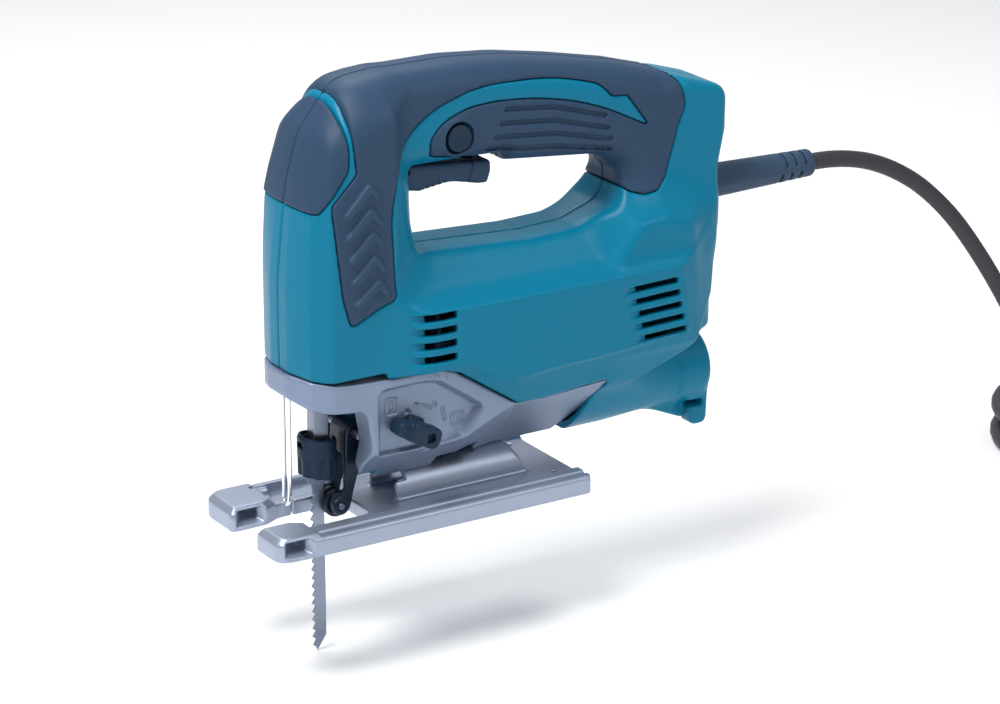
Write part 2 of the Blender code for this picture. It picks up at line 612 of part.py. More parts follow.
def build_roller():
    groove = [
        (ROLLER_R, 4), (ROLLER_R, 1.15), (GROOVE_R, 1.15), (GROOVE_R, -1.15), (ROLLER_R, -1.15),
        (ROLLER_R, -4), (1.8, -4), (1.8, 4),
    ]
    along_y = Matrix.Translation((ROLLER_X, 0, ROLLER_Z)) @ TURNS["Y"]
    wheel = turned("guide_roller", groove, along_y, "black_steel", 24)
    on_joint("roller", (ROLLER_X, 0, ROLLER_Z), wheel)

    arm_side = [
        (-37, 3.5, 4), (-28, 3.5, 4), (-22, 36, 3), (-22, 45, 3), (-30, 45, 3), (-31, 30, 6), (-37, 13, 4),
    ]
    arm = prism("roller_arm", arm_side, -7.2, 7.2, "black_steel")
    cut(
        arm,
        box("arm_gap", (-45, -4.4, -5), (-22.5, 4.4, 31)),
        box("blade_gap", (-45, -9, -5), (-34.4, 9, 30)),
        rod("arm_pin_bore", "Y", -20, 20, 1.8, sides=16, at=(ROLLER_X, 0, ROLLER_Z)),
        rod("arm_pivot_bore", "Y", -20, 20, 2.3, sides=20, at=(ARM_X, 0, ARM_Z)),
        box("rod_gap", (-45, -9, 14.8), (-31.4, 9, 50)),
    )
    pin = rod("roller_pin", "Y", -8.2, 8.2, 1.5, "steel", 16, at=(ROLLER_X, 0, ROLLER_Z))
    on_joint("roller_arm_pivot", (ARM_X, 0, ARM_Z), arm, pin)
    rod("arm_pivot_pin", "Y", -13, 13, 2.0, "steel", 20, at=(ARM_X, 0, ARM_Z))
    box("chip_duct", (-20.8, -13, 22), (-18, 13, 58), "teal", 0.8)


def build_lever():
    angle = math.radians(LEVER_TILT)
    along = Vector((math.cos(angle), 0, math.sin(angle)))
    hub = Vector((LEVER_X, 0, LEVER_Z))
    across = Vector((-along.z, 0, along.x))
    rows = []
    for y in (-34.5, -22.4):
        row = []
        for k in range(13):
            turn = math.pi * k / 12
            spot = hub - along * 4.75 * math.sin(turn) + across * 4.75 * math.cos(turn)
            row.append((spot.x, y, spot.z))
        for k in range(7):
            turn = math.pi * k / 6
            spot = hub + along * (12 + 3.6 * math.sin(turn)) - across * 3.6 * math.cos(turn)
            row.append((spot.x, y, spot.z))
        rows.append(row)
    knob = loft("orbital_lever", rows, "dark_plastic")
    cut(knob, box("key_socket", (LEVER_X - 2, -40, LEVER_Z - 2), (LEVER_X + 2, -32.5, LEVER_Z + 2)))
    cam = rod("lever_cam", "Y", -22.1, 8, 3.0, "steel", 20, at=(LEVER_X, 0, LEVER_Z))
    cut(cam, box("cam_flat", (LEVER_X + 1.2, -12, LEVER_Z - 5), (LEVER_X + 5, 4, LEVER_Z + 5)))
    on_joint("lever", (LEVER_X, 0, LEVER_Z), knob, cam)


# ---- sole


def build_sole():
    half_long, half_wide = SOLE_LONG / 2, SOLE_WIDE / 2
    plan = [
        (half_long, -half_wide, 2), (half_long, half_wide, 2), (-half_long, half_wide, 8), (-half_long, 8, 4),
        (-62, 8, 4), (-54, 12, 4), (-24, 12, 4), (-24, -18, 4), (-58, -18, 4), (-64, -14, 4),
        (-half_long, -14, 4), (-half_long, -half_wide, 8),
    ]
    sole = slab("sole", plan, 0, PLATE_TOP, "sole_metal")
    head_left = [(-79.5, -35.75, 7), (-58, -35.75, 1), (-58, -18.5, 1), (-64, -14, 3), (-79.5, -14, 3)]
    head_right = [(-79.5, 8, 3), (-62, 8, 3), (-57, 11, 1), (-57, 35.75, 1), (-79.5, 35.75, 7)]
    rails = []
    for side in (-1, 1):
        middle = side * 33
        low, high = (-60, middle - 2.75, 1), (half_long - 0.01, middle + 2.75, 9.2)
        rails.append(box(f"rail_{side}", low, high, round_by=0.8))
    join(sole, slab("head_left", head_left, 1, 10.5), slab("head_right", head_right, 1, 10.5), *rails)
    saddle = rod("saddle", "X", -8, 60, SADDLE_R, sides=36, at=(0, 0, SADDLE_Z))
    join(sole, saddle)
    hollow = rod("saddle_hollow", "X", -20, 56, SADDLE_R - SADDLE_WALL, sides=36, at=(0, 0, SADDLE_Z))
    upper = box("hollow_top", (-20, -12, PLATE_TOP), (56, 12, 30))
    keep_inside(hollow, upper)
    cut(
        sole,
        box("under_saddle", (-90, -36, -20), (90, 36, 0)),
        hollow,
        box("bolt_window", (5, -9.5, -5), (46, 9.5, PLATE_TOP + 1)),
        box("bolt_slot", (4, -3.6, 10), (27, 3.6, 30)),
        box("fence_slots", (-73.6, -50, 3.5), (-66.0, 50, 8.1)),
    )

    bolt = rod("bevel_bolt", "Z", 9.2, 26.6, 3.0, "steel", 24, at=(22, 0, 0))
    join(bolt, rod("bolt_head", "Z", 4.2, 9.6, 5.2, sides=24, at=(22, 0, 0)))
    cut(bolt, rod("hex_socket", "Z", 0, 7.2, 2.8, sides=6, at=(22, 0, 0)))
    washer = rod("curved_washer", "X", 14, 30, 9.7, "steel", 36, at=(0, 0, SADDLE_Z))
    cut(
        washer,
        rod("washer_under", "X", 0, 40, 7.6, sides=36, at=(0, 0, SADDLE_Z)),
        box("washer_low", (0, -20, -10), (40, 20, 11.5)),
        rod("washer_hole", "Z", 0, 40, 3.3, sides=20, at=(22, 0, 0)),
    )
    nut = rod("clamp_nut", "X", 15, 31, 20.9, "black_steel", 36, at=(0, 0, SADDLE_Z))
    cut(
        nut,
        rod("nut_under", "X", 0, 40, 14.4, sides=36, at=(0, 0, SADDLE_Z)),
        box("nut_low", (0, -30, -20), (50, 30, 23)),
        rod("nut_hole", "Z", 0, 40, 3.3, sides=20, at=(22, 0, 0)),
    )
    on_joint("bevel", (22, 0, SADDLE_Z), bolt, washer, nut)
    on_joint("sole_slide", (0, 0, 0), sole)


# ---- handle controls, port, cord


def build_controls():
    trigger_side = [
        (1, 146.5, 4), (12, 145.2, 6), (42, 143.6, 2), (44, 149, 2), (44.5, 154, 2), (1, 158.5, 3),
        (-1.2, 154, 4),
    ]
    trigger = bevel(prism("trigger", trigger_side, -8.2, 8.2, "soft_rubber"), 1.5, segments=1)
    cut(trigger, rod("trigger_bore", "Y", -20, 20, 1.3, sides=16, at=(TRIGGER_X + 2.5, 0, TRIGGER_Z - 2)))
    on_joint("trigger_pivot", (TRIGGER_X + 2.5, 0, TRIGGER_Z - 2), trigger)
    curve_piece("trigger_spring", helix((36, 0, 155.6), "Z", 2.4, 8.0, 4), 0.4, "steel", 1)
    body = box("switch_body", (0, -10.5, 164.5), (46, 10.5, 180), "dark_plastic", 1.0)
    cut(body, rod("lock_pocket", "Y", -20, -5, 4.3, sides=24, at=(LOCK_X, 0, LOCK_Z)))
    button = rod("lock_button", "Y", -18.6, -14.5, LOCK_R, "dark_plastic", 24, at=(LOCK_X, 0, LOCK_Z))
    join(button, rod("button_stem", "Y", -16, -11.2, 3.0, sides=24, at=(LOCK_X, 0, LOCK_Z)))
    on_joint("lock", (LOCK_X, -16, LOCK_Z), button)
    curve_piece("button_spring", helix((LOCK_X, -10.6, LOCK_Z), "Y", 2.4, 4.6, 3), 0.4, "steel", 1)
    wheel = []
    for k in range(48):
        angle, radius = 2 * math.pi * k / 48, DIAL_R - (0.7 if k % 2 else 0)
        wheel.append((DIAL_X + radius * math.cos(angle), DIAL_Z + radius * math.sin(angle)))
    dial = loft("speed_dial", [[(x, y, z) for x, z in wheel] for y in (-4.2, 4.2)], "dark_plastic")
    on_joint("dial", (DIAL_X, 0, DIAL_Z), dial)


def build_rear():
    nozzle_r = PORT_BORE - GAP
    ring("dust_nozzle", "X", 112, 156, nozzle_r, nozzle_r - 1.7, "dark_plastic", 36, at=(0, 0, PORT_Z))
    profile = [
        (6.4, GUARD_END), (7.9, GUARD_X + 6), (7.9, 151.7), (10.6, 151.7), (10.6, 148.3), (4.2, 148.3),
        (4.2, GUARD_END),
    ]
    turned("cord_guard", profile, Matrix.Translation((0, 0, GUARD_Z)) @ TURNS["X"], "cord_rubber", 28)
    for name, x, z in (("front", -50, 95), ("rear", 134, 140), ("middle", 26, 111)):
        screw = rod(f"screw_{name}", "Y", 4, 13, 2.0, "steel", 12, at=(x, 0, z))
        join(screw, rod(f"screw_head_{name}", "Y", 12, 14.5, 3.6, sides=16, at=(x, 0, z)))


def build_cord():
    curve_piece("cord", smooth_path(CORD_ROUTE), CORD_R, "cord_rubber")
    outside, inside, top = COIL_R + COIL_HALF, COIL_R - COIL_HALF, COIL_HIGH
    profile = [
        (outside - 4, top), (outside, top - 6), (outside, 4), (outside - 4, 0),
        (inside + 4, 0), (inside, 4), (inside, top - 6), (inside + 4, top),
    ]
    turned("cord_coil", profile, Matrix.Translation((COIL_X, COIL_Y, FLOOR)), "cord_rubber", 32)
    curve_piece("cord_tail", smooth_path(CORD_TAIL), CORD_R, "cord_rubber")
    # the flat two-pin plug lies on the floor with its cord entry at (PLUG_X, PLUG_Y), pins away from the cord
    sides = [(5.5, 0, 2), (8, 14, 6), (17.5, 22, 6), (17.5, PLUG_LONG, 4)]
    plan = [(PLUG_X + x, PLUG_Y + y, r) for x, y, r in sides]
    plan += [(PLUG_X - x, PLUG_Y + y, r) for x, y, r in reversed(sides)]
    low, high = PLUG_Z - PLUG_THICK / 2, PLUG_Z + PLUG_THICK / 2
    bevel(slab("plug", plan, low, high, "cord_rubber"), 2.0, segments=1)
    root = PLUG_Y + PLUG_LONG + GAP
    for name, side in (("plug_pin_left", -1), ("plug_pin_right", 1)):
        spot = (PLUG_X + side * PIN_APART / 2, 0, PLUG_Z)
        rod(name, "Y", root, root + PIN_LONG, PIN_R, "brass", 16, at=spot)


build_housing()
build_grips()
build_casting()
build_drive()
build_plunger()
build_roller()
build_lever()
build_sole()
build_controls()
build_rear()
build_cord()
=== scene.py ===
"""The looks of a corded D-handle jigsaw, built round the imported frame.

Castings, mouldings and grips are distance fields: a form is a signed distance in millimetres on a grid,
forms are merged and carved with rounded joins, and surface_of() makes the mesh of where the field is zero.
The lead and the wire guard are swept curves. Tables are in millimetres, in the frame's axes.
-Y is the near side.
"""

import json
import math

import bmesh
import bpy
import numpy as np
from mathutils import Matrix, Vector


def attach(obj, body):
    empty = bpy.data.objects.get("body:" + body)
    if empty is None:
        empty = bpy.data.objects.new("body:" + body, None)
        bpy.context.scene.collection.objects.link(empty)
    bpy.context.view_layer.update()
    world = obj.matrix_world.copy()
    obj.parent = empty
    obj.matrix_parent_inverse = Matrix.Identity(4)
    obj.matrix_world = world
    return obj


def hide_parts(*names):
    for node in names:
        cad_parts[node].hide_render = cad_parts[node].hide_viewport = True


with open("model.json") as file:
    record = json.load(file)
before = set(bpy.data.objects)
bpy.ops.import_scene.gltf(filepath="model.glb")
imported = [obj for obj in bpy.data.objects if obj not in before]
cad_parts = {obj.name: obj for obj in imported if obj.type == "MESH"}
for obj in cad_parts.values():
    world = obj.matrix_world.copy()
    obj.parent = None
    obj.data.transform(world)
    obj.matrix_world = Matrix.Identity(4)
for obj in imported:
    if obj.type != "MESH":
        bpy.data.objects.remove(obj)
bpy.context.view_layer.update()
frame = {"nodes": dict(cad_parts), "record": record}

MM = 0.001
FLOOR = -61.5  # the blade's tip is as low as the floor
HOUSING_STEP, CASTING_STEP, SOLE_STEP = 0.8, 0.6, 0.55  # grid steps of the large forms
WALL, RUBBER_DEPTH, RUBBER_PROUD, SEAM_GAP = 3, 2.3, 0.55, 0.28
LOCK_X, LOCK_Z, LOCK_RADIUS, LOCK_HOLE = 21.9, 169.7, 6, 6.9
LEVER_X, LEVER_Z = -3, 42.5
LEAD_Z, LEAD_RADIUS = 123, 4
TUBE_Z = 38  # the dust tube's axis
BEVEL_Z = 8  # the sole tilts about this line
ROD_X, BLADE_BACK, BLADE_TIPS = -41, -38.0, -45.0
ROLLER_X, ROLLER_Z = -33.3, 8.1
ARM_X, ARM_Z = -26, 41
DIAL_X, DIAL_Z = 145.5, 97
SCREWS = (("front", -50, 95), ("rear", 134, 140), ("middle", 26, 111))
GUIDE_X, GUIDE_HALF = -56, 2.5  # the wire guard's legs
COIL_X, COIL_Y, COIL_SIDES = 428, 12, 36
PLUG_X, PLUG_Y, PLUG_Z, PIN_APART = 498.8, 24.5, -53.3, 19
NODES = frame["nodes"]


# ---- camera, floor and light


def vector_of(azimuth, elevation):
    """The direction from the object to something seen at these angles."""
    a, e = math.radians(azimuth), math.radians(elevation)
    return Vector((math.sin(a) * math.cos(e), -math.cos(a) * math.cos(e), math.sin(e)))


def add_camera():
    data = bpy.data.cameras.new("camera")
    data.lens, data.sensor_width = 129.6, 36.0
    data.clip_start, data.clip_end = 0.05, 50
    camera = bpy.data.objects.new("camera", data)
    bpy.context.scene.collection.objects.link(camera)
    camera.location = (-0.7498, -1.2852, 0.6009)
    camera.rotation_euler = (-vector_of(-32, 19.6)).to_track_quat("-Z", "Y").to_euler()
    bpy.context.scene.camera = camera


def add_area_light(name, azimuth, elevation, distance, size, power, colour=(1, 1, 1)):
    data = bpy.data.lights.new(name, "AREA")
    data.shape, data.size, data.energy, data.color = "DISK", size, power, colour
    light = bpy.data.objects.new(name, data)
    bpy.context.scene.collection.objects.link(light)
    towards = vector_of(azimuth, elevation)
    light.location = Vector((0.05, 0, 0.07)) + towards * distance
    light.rotation_euler = (-towards).to_track_quat("-Z", "Y").to_euler()


def add_surroundings():
    bpy.context.scene.view_settings.view_transform = "Standard"
    world = bpy.data.worlds.new("studio")
    world.use_nodes = True
    world.node_tree.nodes["Background"].inputs["Color"].default_value = (0.95, 0.97, 1.0, 1)
    world.node_tree.nodes["Background"].inputs["Strength"].default_value = 0.5
    bpy.context.scene.world = world
    add_area_light("key", -72, 60, 1.3, 0.6, 17)
    add_area_light("side", 25, 38, 1.5, 0.5, 3.5)
    add_area_light("rim", 165, 55, 1.4, 0.6, 8)
    bm = bmesh.new()
    bmesh.ops.create_grid(bm, x_segments=2, y_segments=2, size=6)
    bmesh.ops.translate(bm, vec=(0, 0, FLOOR * MM), verts=bm.verts)
    floor = bpy.data.objects.new("floor", bpy.data.meshes.new("floor"))
    bm.to_mesh(floor.data)
    bm.free()
    bpy.context.scene.collection.objects.link(floor)
    material = bpy.data.materials.new("floor_paper")
    material.use_nodes = True
    shader = material.node_tree.nodes["Principled BSDF"]
    shader.inputs["Base Color"].default_value = (0.93, 0.93, 0.93, 1)
    shader.inputs["Roughness"].default_value = 0.9
    floor.data.materials.append(material)


add_camera()
add_surroundings()


# ---- fields: signed distances on a grid, negative inside


class Grid:
    """Sample places for a field: x, y and z hold each axis's coordinates, shaped to broadcast."""

    def __init__(self, low, high, step):
        self.low, self.step = np.array(low, float), step
        counts = [int(math.ceil((b - a) / step)) + 1 for a, b in zip(low, high)]
        axes = [a + step * np.arange(n) for a, n in zip(low, counts)]
        self.x = axes[0].astype(np.float32)[:, None, None]
        self.y = axes[1].astype(np.float32)[None, :, None]
        self.z = axes[2].astype(np.float32)[None, None, :]


def rounded(corners, steps=7):
    """The points of an outline given as (a, b, corner radius), each corner a curve."""
    points = []
    for i, (a, b, radius) in enumerate(corners):
        here = Vector((a, b))
        back = Vector(corners[i - 1][:2]) - here
        on = Vector(corners[(i + 1) % len(corners)][:2]) - here
        reach = min(radius / math.tan(back.angle(on) / 2), 0.49 * back.length, 0.49 * on.length)
        start, end = here + back.normalized() * reach, here + on.normalized() * reach
        for k in range(steps + 1):
            t = k / steps
            points.append(start * (1 - t) ** 2 + here * 2 * t * (1 - t) + end * t**2)
    return points


def outline(corners, a, b):
    """Signed distance from each (a, b) to a closed outline."""
    points = [np.array(p) for p in rounded(corners)]
    shape = np.broadcast(a, b).shape
    nearest, inside = np.full(shape, 1e9, np.float32), np.zeros(shape, bool)
    for p, q in zip(points, points[1:] + points[:1]):
        edge = q - p
        if edge @ edge < 1e-9:
            continue
        along = np.clip(((a - p[0]) * edge[0] + (b - p[1]) * edge[1]) / (edge @ edge), 0, 1)
        nearest = np.minimum(nearest, (a - p[0] - along * edge[0]) ** 2 + (b - p[1] - along * edge[1]) ** 2)
        if edge[1]:
            inside ^= ((p[1] > b) != (q[1] > b)) & (a < p[0] + (b - p[1]) * edge[0] / edge[1])
    return np.where(inside, -1, 1).astype(np.float32) * np.sqrt(nearest)


def merged(a, b, radius):
    """Both shapes, with a fillet of about this radius where they meet."""
    share = np.clip(0.5 + 0.5 * (b - a) / radius, 0, 1)
    return b + (a - b) * share - radius * share * (1 - share)


def kept(a, b, radius):
    """What is inside both shapes, with a rounded edge."""
    return -merged(-a, -b, radius)


def carved(a, b, radius=0.5):
    """The first shape without the second."""
    return -merged(-a, b, radius)


def rimmed(a, b, radius):
    """What is inside both shapes, where they cross at right angles, with a circular edge."""
    u, v = a + radius, b + radius
    return np.minimum(np.maximum(u, v), 0) + np.hypot(np.maximum(u, 0), np.maximum(v, 0)) - radius


def ball_of(grid, centre, radius):
    x, y, z = centre
    return np.sqrt((grid.x - x) ** 2 + (grid.y - y) ** 2 + (grid.z - z) ** 2) - radius


def block(grid, low, high, edge=0.5):
    """A box with rounded edges."""
    parts = []
    for place, a, b in zip((grid.x, grid.y, grid.z), low, high):
        parts.append(np.abs(place - (a + b) / 2) - (b - a) / 2)
    return rimmed(rimmed(parts[0], parts[1], edge), parts[2], edge)


def bar(a, b, centre, radius, across, low, high, edge=0.5):
    """A round bar: its circle lies in the (a, b) plane and it runs from low to high along across."""
    disc = np.hypot(a - centre[0], b - centre[1]) - radius
    return rimmed(disc, np.abs(across - (low + high) / 2) - (high - low) / 2, edge)


def sampled(field, grid, points):
    """The field's value and gradient at these points, from the eight samples round each."""
    where = (points - grid.low) / grid.step
    cell = np.clip(np.floor(where).astype(int), 0, np.array(field.shape) - 2)
    part = where - cell
    value, gradient = np.zeros(len(points)), np.zeros((len(points), 3))
    for i, j, k in np.ndindex(2, 2, 2):
        corner = field[cell[:, 0] + i, cell[:, 1] + j, cell[:, 2] + k]
        shares = [part[:, n] if bit else 1 - part[:, n] for n, bit in enumerate((i, j, k))]
        value += corner * shares[0] * shares[1] * shares[2]
        for n, bit in enumerate((i, j, k)):
            others = [shares[m] for m in range(3) if m != n]
            gradient[:, n] += (1 if bit else -1) * corner * others[0] * others[1] / grid.step
    return value, gradient


def surface_of(field, grid):
    """Vertices and quads of the field's zero surface: one vertex in each cell that it crosses."""
    inside = field < 0
    count = np.zeros(np.array(field.shape) - 1, np.uint8)
    parts = [slice(None, -1), slice(1, None)]
    for i, j, k in np.ndindex(2, 2, 2):
        count += inside[parts[i], parts[j], parts[k]]
    cells = np.argwhere((count > 0) & (count < 8))
    index = np.full(count.shape, -1)
    index[tuple(cells.T)] = np.arange(len(cells))
    total, crossings = np.zeros((len(cells), 3)), np.zeros(len(cells))
    for axis in range(3):
        step = np.eye(3, dtype=int)[axis]
        for i, j in np.ndindex(2, 2):
            start = np.insert([i, j], axis, 0)
            a = field[tuple((cells + start).T)]
            b = field[tuple((cells + start + step).T)]
            cut = (a < 0) != (b < 0)
            share = a[cut] / (a[cut] - b[cut])
            total[cut] += start + share[:, None] * step
            crossings[cut] += 1
    places = grid.low + (cells + total / crossings[:, None]) * grid.step
    limit = 0.6 * grid.step
    for _ in range(2):
        value, gradient = sampled(field, grid, places)
        move = gradient * (value / np.maximum((gradient**2).sum(axis=1), 1e-3))[:, None]
        places -= np.clip(move, -limit, limit)
    quads = []
    for axis in range(3):
        b, c = (axis + 1) % 3, (axis + 2) % 3
        size = np.array(field.shape)
        low, high = np.zeros(3, int), size.copy()
        low[b] = low[c] = 1
        high[axis] -= 1
        high[b] -= 1
        high[c] -= 1
        here = tuple(slice(low[n], high[n]) for n in range(3))
        there = tuple(slice(low[n] + (n == axis), high[n] + (n == axis)) for n in range(3))
        rising = inside[here] & ~inside[there]
        falling = ~inside[here] & inside[there]
        for found, order in ((rising, (0, 1, 2, 3)), (falling, (3, 2, 1, 0))):
            spots = np.argwhere(found) + low
            ring = []
            for db, dc in ((-1, -1), (0, -1), (0, 0), (-1, 0)):
                moved = spots.copy()
                moved[:, b] += db
                moved[:, c] += dc
                ring.append(index[tuple(moved.T)])
            quads.append(np.stack([ring[n] for n in order], axis=1))
    return places, np.concatenate(quads)


def mesh_from(name, points, quads):
    """A smooth mesh from points in millimetres."""
    mesh = bpy.data.meshes.new(name)
    mesh.vertices.add(len(points))
    mesh.vertices.foreach_set("co", (np.asarray(points) * MM).astype(np.float32).ravel())
    mesh.loops.add(quads.size)
    mesh.loops.foreach_set("vertex_index", quads.astype(np.int32).ravel())
    mesh.polygons.add(len(quads))
    mesh.polygons.foreach_set("loop_start", np.arange(0, quads.size, 4, dtype=np.int32))
    mesh.update(calc_edges=True)
    mesh.validate()
    mesh.shade_smooth()
    return mesh


def finish_piece(name, mesh, material, body, replaced):
    """An object of this mesh that rides on a body and stands for CAD nodes."""
    piece = bpy.data.objects.new(name, mesh)
    bpy.context.scene.collection.objects.link(piece)
    if material:
        mesh.materials.clear()
        mesh.materials.append(material)
    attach(piece, body)
    if replaced:
        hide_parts(*replaced)
    return piece


def field_piece(name, field, grid, material, body, replaced, mirror=False):
    points, quads = surface_of(field, grid)
    if mirror:
        points = points * np.array([1, -1, 1])
        quads = quads[:, ::-1]
    return finish_piece(name, mesh_from(name, points, quads), material, body, replaced)


# ---- materials


def material_of(
    name, colour, roughness, metallic=0.0, speckle=900, bump=0.12, depth=0.00012, mottle=0.06, stretch=None,
    shine=0.5,
):
    """A procedural finish: a mottled base colour, varied gloss and a fine grain that the light catches."""
    material = bpy.data.materials.new(name)
    material.use_nodes = True
    nodes, links = material.node_tree.nodes, material.node_tree.links
    shader = nodes["Principled BSDF"]
    place = nodes.new("ShaderNodeTexCoord")
    mapping = nodes.new("ShaderNodeMapping")
    mapping.inputs["Scale"].default_value = stretch or (1, 1, 1)
    links.new(place.outputs["Object"], mapping.inputs["Vector"])
    broad, fine = nodes.new("ShaderNodeTexNoise"), nodes.new("ShaderNodeTexNoise")
    broad.inputs["Scale"].default_value = 28
    broad.inputs["Detail"].default_value = 5
    fine.inputs["Scale"].default_value = speckle
    fine.inputs["Detail"].default_value = 3
    links.new(place.outputs["Object"], broad.inputs["Vector"])
    links.new(mapping.outputs["Vector"], fine.inputs["Vector"])
    mix = nodes.new("ShaderNodeMix")
    mix.data_type = "RGBA"
    mix.inputs[6].default_value = (*(c * (1 - mottle) for c in colour), 1)
    mix.inputs[7].default_value = (*(min(1, c * (1 + mottle)) for c in colour), 1)
    links.new(broad.outputs["Fac"], mix.inputs[0])
    links.new(mix.outputs[2], shader.inputs["Base Color"])
    spread = nodes.new("ShaderNodeMapRange")
    spread.inputs["To Min"].default_value = max(0.03, roughness - 0.07)
    spread.inputs["To Max"].default_value = min(1, roughness + 0.07)
    links.new(fine.outputs["Fac"], spread.inputs["Value"])
    links.new(spread.outputs["Result"], shader.inputs["Roughness"])
    shader.inputs["Metallic"].default_value = metallic
    shader.inputs["Specular IOR Level"].default_value = shine
    lift = nodes.new("ShaderNodeBump")
    lift.inputs["Strength"].default_value = bump
    lift.inputs["Distance"].default_value = depth
    links.new(fine.outputs["Fac"], lift.inputs["Height"])
    links.new(lift.outputs["Normal"], shader.inputs["Normal"])
    return material


TEAL = material_of(
    "teal_plastic", (0.0, 0.158, 0.268), 0.34, speckle=1500, bump=0.18, mottle=0.03, shine=0.17,
)
RUBBER = material_of(
    "slate_rubber", (0.023, 0.052, 0.1), 0.5, speckle=2200, bump=0.35, mottle=0.05, shine=0.2,
)
CASTING = material_of("cast_alloy", (0.205, 0.26, 0.365), 0.47, 0.55, speckle=1300, bump=0.35)
SOLE = material_of(
    "sole_alloy", (0.33, 0.375, 0.475), 0.38, 0.7, speckle=900, bump=0.12, stretch=(0.08, 1, 1),
)
STEEL = material_of(
    "ground_steel", (0.22, 0.25, 0.32), 0.3, 0.9, speckle=1600, bump=0.1, stretch=(1, 1, 0.1),
)
BLADE = material_of(
    "blade_steel", (0.24, 0.28, 0.36), 0.32, 0.85, speckle=1400, bump=0.12, stretch=(1, 1, 0.06),
)
CHROME = material_of("chrome", (0.78, 0.8, 0.85), 0.1, 1, bump=0.02, mottle=0.02)
DARK = material_of("dark_plastic", (0.008, 0.024, 0.05), 0.42, speckle=1800, bump=0.25, shine=0.2)
BLACK = material_of("blackened_steel", (0.012, 0.025, 0.047), 0.36, 0.5, speckle=1700, bump=0.2)
GUARD = material_of("guard_rubber", (0.024, 0.052, 0.098), 0.6, speckle=1900, bump=0.35, shine=0.3)
CORD = material_of("cord_rubber", (0.02, 0.022, 0.028), 0.6, speckle=1700, bump=0.3)
COPPER = material_of("copper", (0.72, 0.32, 0.16), 0.34, 0.95)
LAMINATE = material_of(
    "laminate", (0.2, 0.2, 0.22), 0.5, 0.8, speckle=1600, bump=0.6, stretch=(1, 0.02, 0.02),
)
CARBON = material_of("carbon", (0.025, 0.025, 0.027), 0.6, 0.1, bump=0.5)
BRASS = material_of("brass", (0.72, 0.52, 0.22), 0.3, 1)
BY_SLOT = {
    "teal_shell": TEAL, "soft_rubber": RUBBER, "cast_aluminium": CASTING, "sole_aluminium": SOLE,
    "steel": STEEL, "dark_plastic": DARK, "black_steel": BLACK, "chrome_wire": CHROME, "copper": COPPER,
    "laminate": LAMINATE, "carbon": CARBON, "brass": BRASS, "cord_rubber": CORD,
}


# ---- outlines in the side view, as (x, z, corner radius), counter-clockwise from the near side

COLUMN = [
    (-60.5, 40, 2), (4, 40, 2), (4, 118, 8), (-2, 136, 12), (-3, 165, 14),
    (4, 200.6, 12), (-10, 200.4, 30), (-31, 197.8, 22), (-47.6, 180, 22),
    (-53.2, 160, 40), (-60.5, 113, 40),
]
BODY = [
    (-16, 62, 10), (22, 62, 8), (46, 44.5, 8), (110, 45, 12), (137, 56, 12), (153, 78, 12),
    (157, 100, 14), (147, 118.5, 14), (4, 119.5, 8), (-16, 112, 14),
]
HANDLE = [
    (-20, 100, 18), (150, 92, 20), (159.5, 108, 14), (160.5, 138, 16), (163.5, 152, 12), (163.8, 172, 9),
    (134, 181, 20), (110, 187.8, 40), (80, 194, 60), (52, 198.7, 60), (25, 201, 60), (-10, 200.8, 60),
    (-34, 197.5, 30), (-40, 180, 18), (-38, 130, 18),
]
HOLE = [
    (1.5, 121, 5), (62, 117.5, 10), (84, 118.5, 12), (106, 126, 12), (109, 142, 9), (96, 148.5, 10),
    (48, 153, 6), (46, 157.5, 3), (0, 157.5, 3), (0, 146, 8),
]
SEAM = [  # the line where the plastic ends and the gear casting begins
    (-62, 75.3, 1), (-56, 74.6, 4), (-45.5, 72.3, 6), (-37, 71.3, 6), (-17, 70.5, 6), (6, 71, 6),
    (14, 68.4, 5), (46.5, 46.7, 5), (60, 46.2, 8), (94, 49.3, 2),
]
NOSE_PAD = [
    (-75, 148.5, 1), (-50.5, 148.5, 2.5), (-47, 153.6, 2.5), (-37.6, 166.4, 6), (-36.7, 176, 8),
    (-37.5, 190, 8), (-36.5, 199, 6), (-37.5, 215, 2), (-75, 215, 2),
]
SIDE_PAD = [
    (-37.3, 96.8, 2), (-15.4, 106.8, 3), (-17.2, 144, 60), (-14, 158, 40), (-7, 172, 50), (8, 184.2, 60),
    (26, 189.7, 0.2), (30, 215, 2), (-35, 215, 2), (-34.6, 190, 4), (-34.6, 175, 4), (-33.6, 164, 3),
    (-46, 151.7, 2.5), (-41, 110, 10),
]
ARCH_TOP = [
    (22, 188.7, 0.2), (26, 189.7, 4), (38, 191.2, 150), (61, 190.4, 150), (78, 187.9, 150),
    (94.4, 183.2, 30), (100.6, 176.8, 3), (108.6, 176.3, 3), (119.5, 162, 4), (132, 150, 12),
    (140, 168, 8), (137, 178, 6), (130, 184, 4), (128, 215, 2), (22, 215, 2),
]
PALM = [
    (8, 163.2, 3), (34, 158.2, 4), (45, 156.9, 3), (48, 154.5, 3), (96, 149.5, 12), (104, 145, 4),
    (101.5, 138.5, 3), (110.4, 131.5, 4), (116.4, 129.8, 4), (123.6, 130.6, 4), (129, 135.8, 6),
    (134.3, 153, 16), (137.8, 167, 6), (134, 172, 6), (119.8, 160.6, 4), (96, 172.4, 120),
    (78.2, 178.2, 120), (60.8, 181.6, 120), (43.7, 183.2, 120), (26.8, 182.6, 50), (14, 177.6, 20),
    (7.4, 170.5, 8),
]
RECESS = [
    (-24.4, 33.5, 2), (9.4, 33, 2), (19.3, 35.5, 3), (29.6, 48.9, 2.5), (22.6, 54, 3), (7, 64.8, 5),
    (-1, 66.2, 5), (-24.4, 65.9, 5),
]


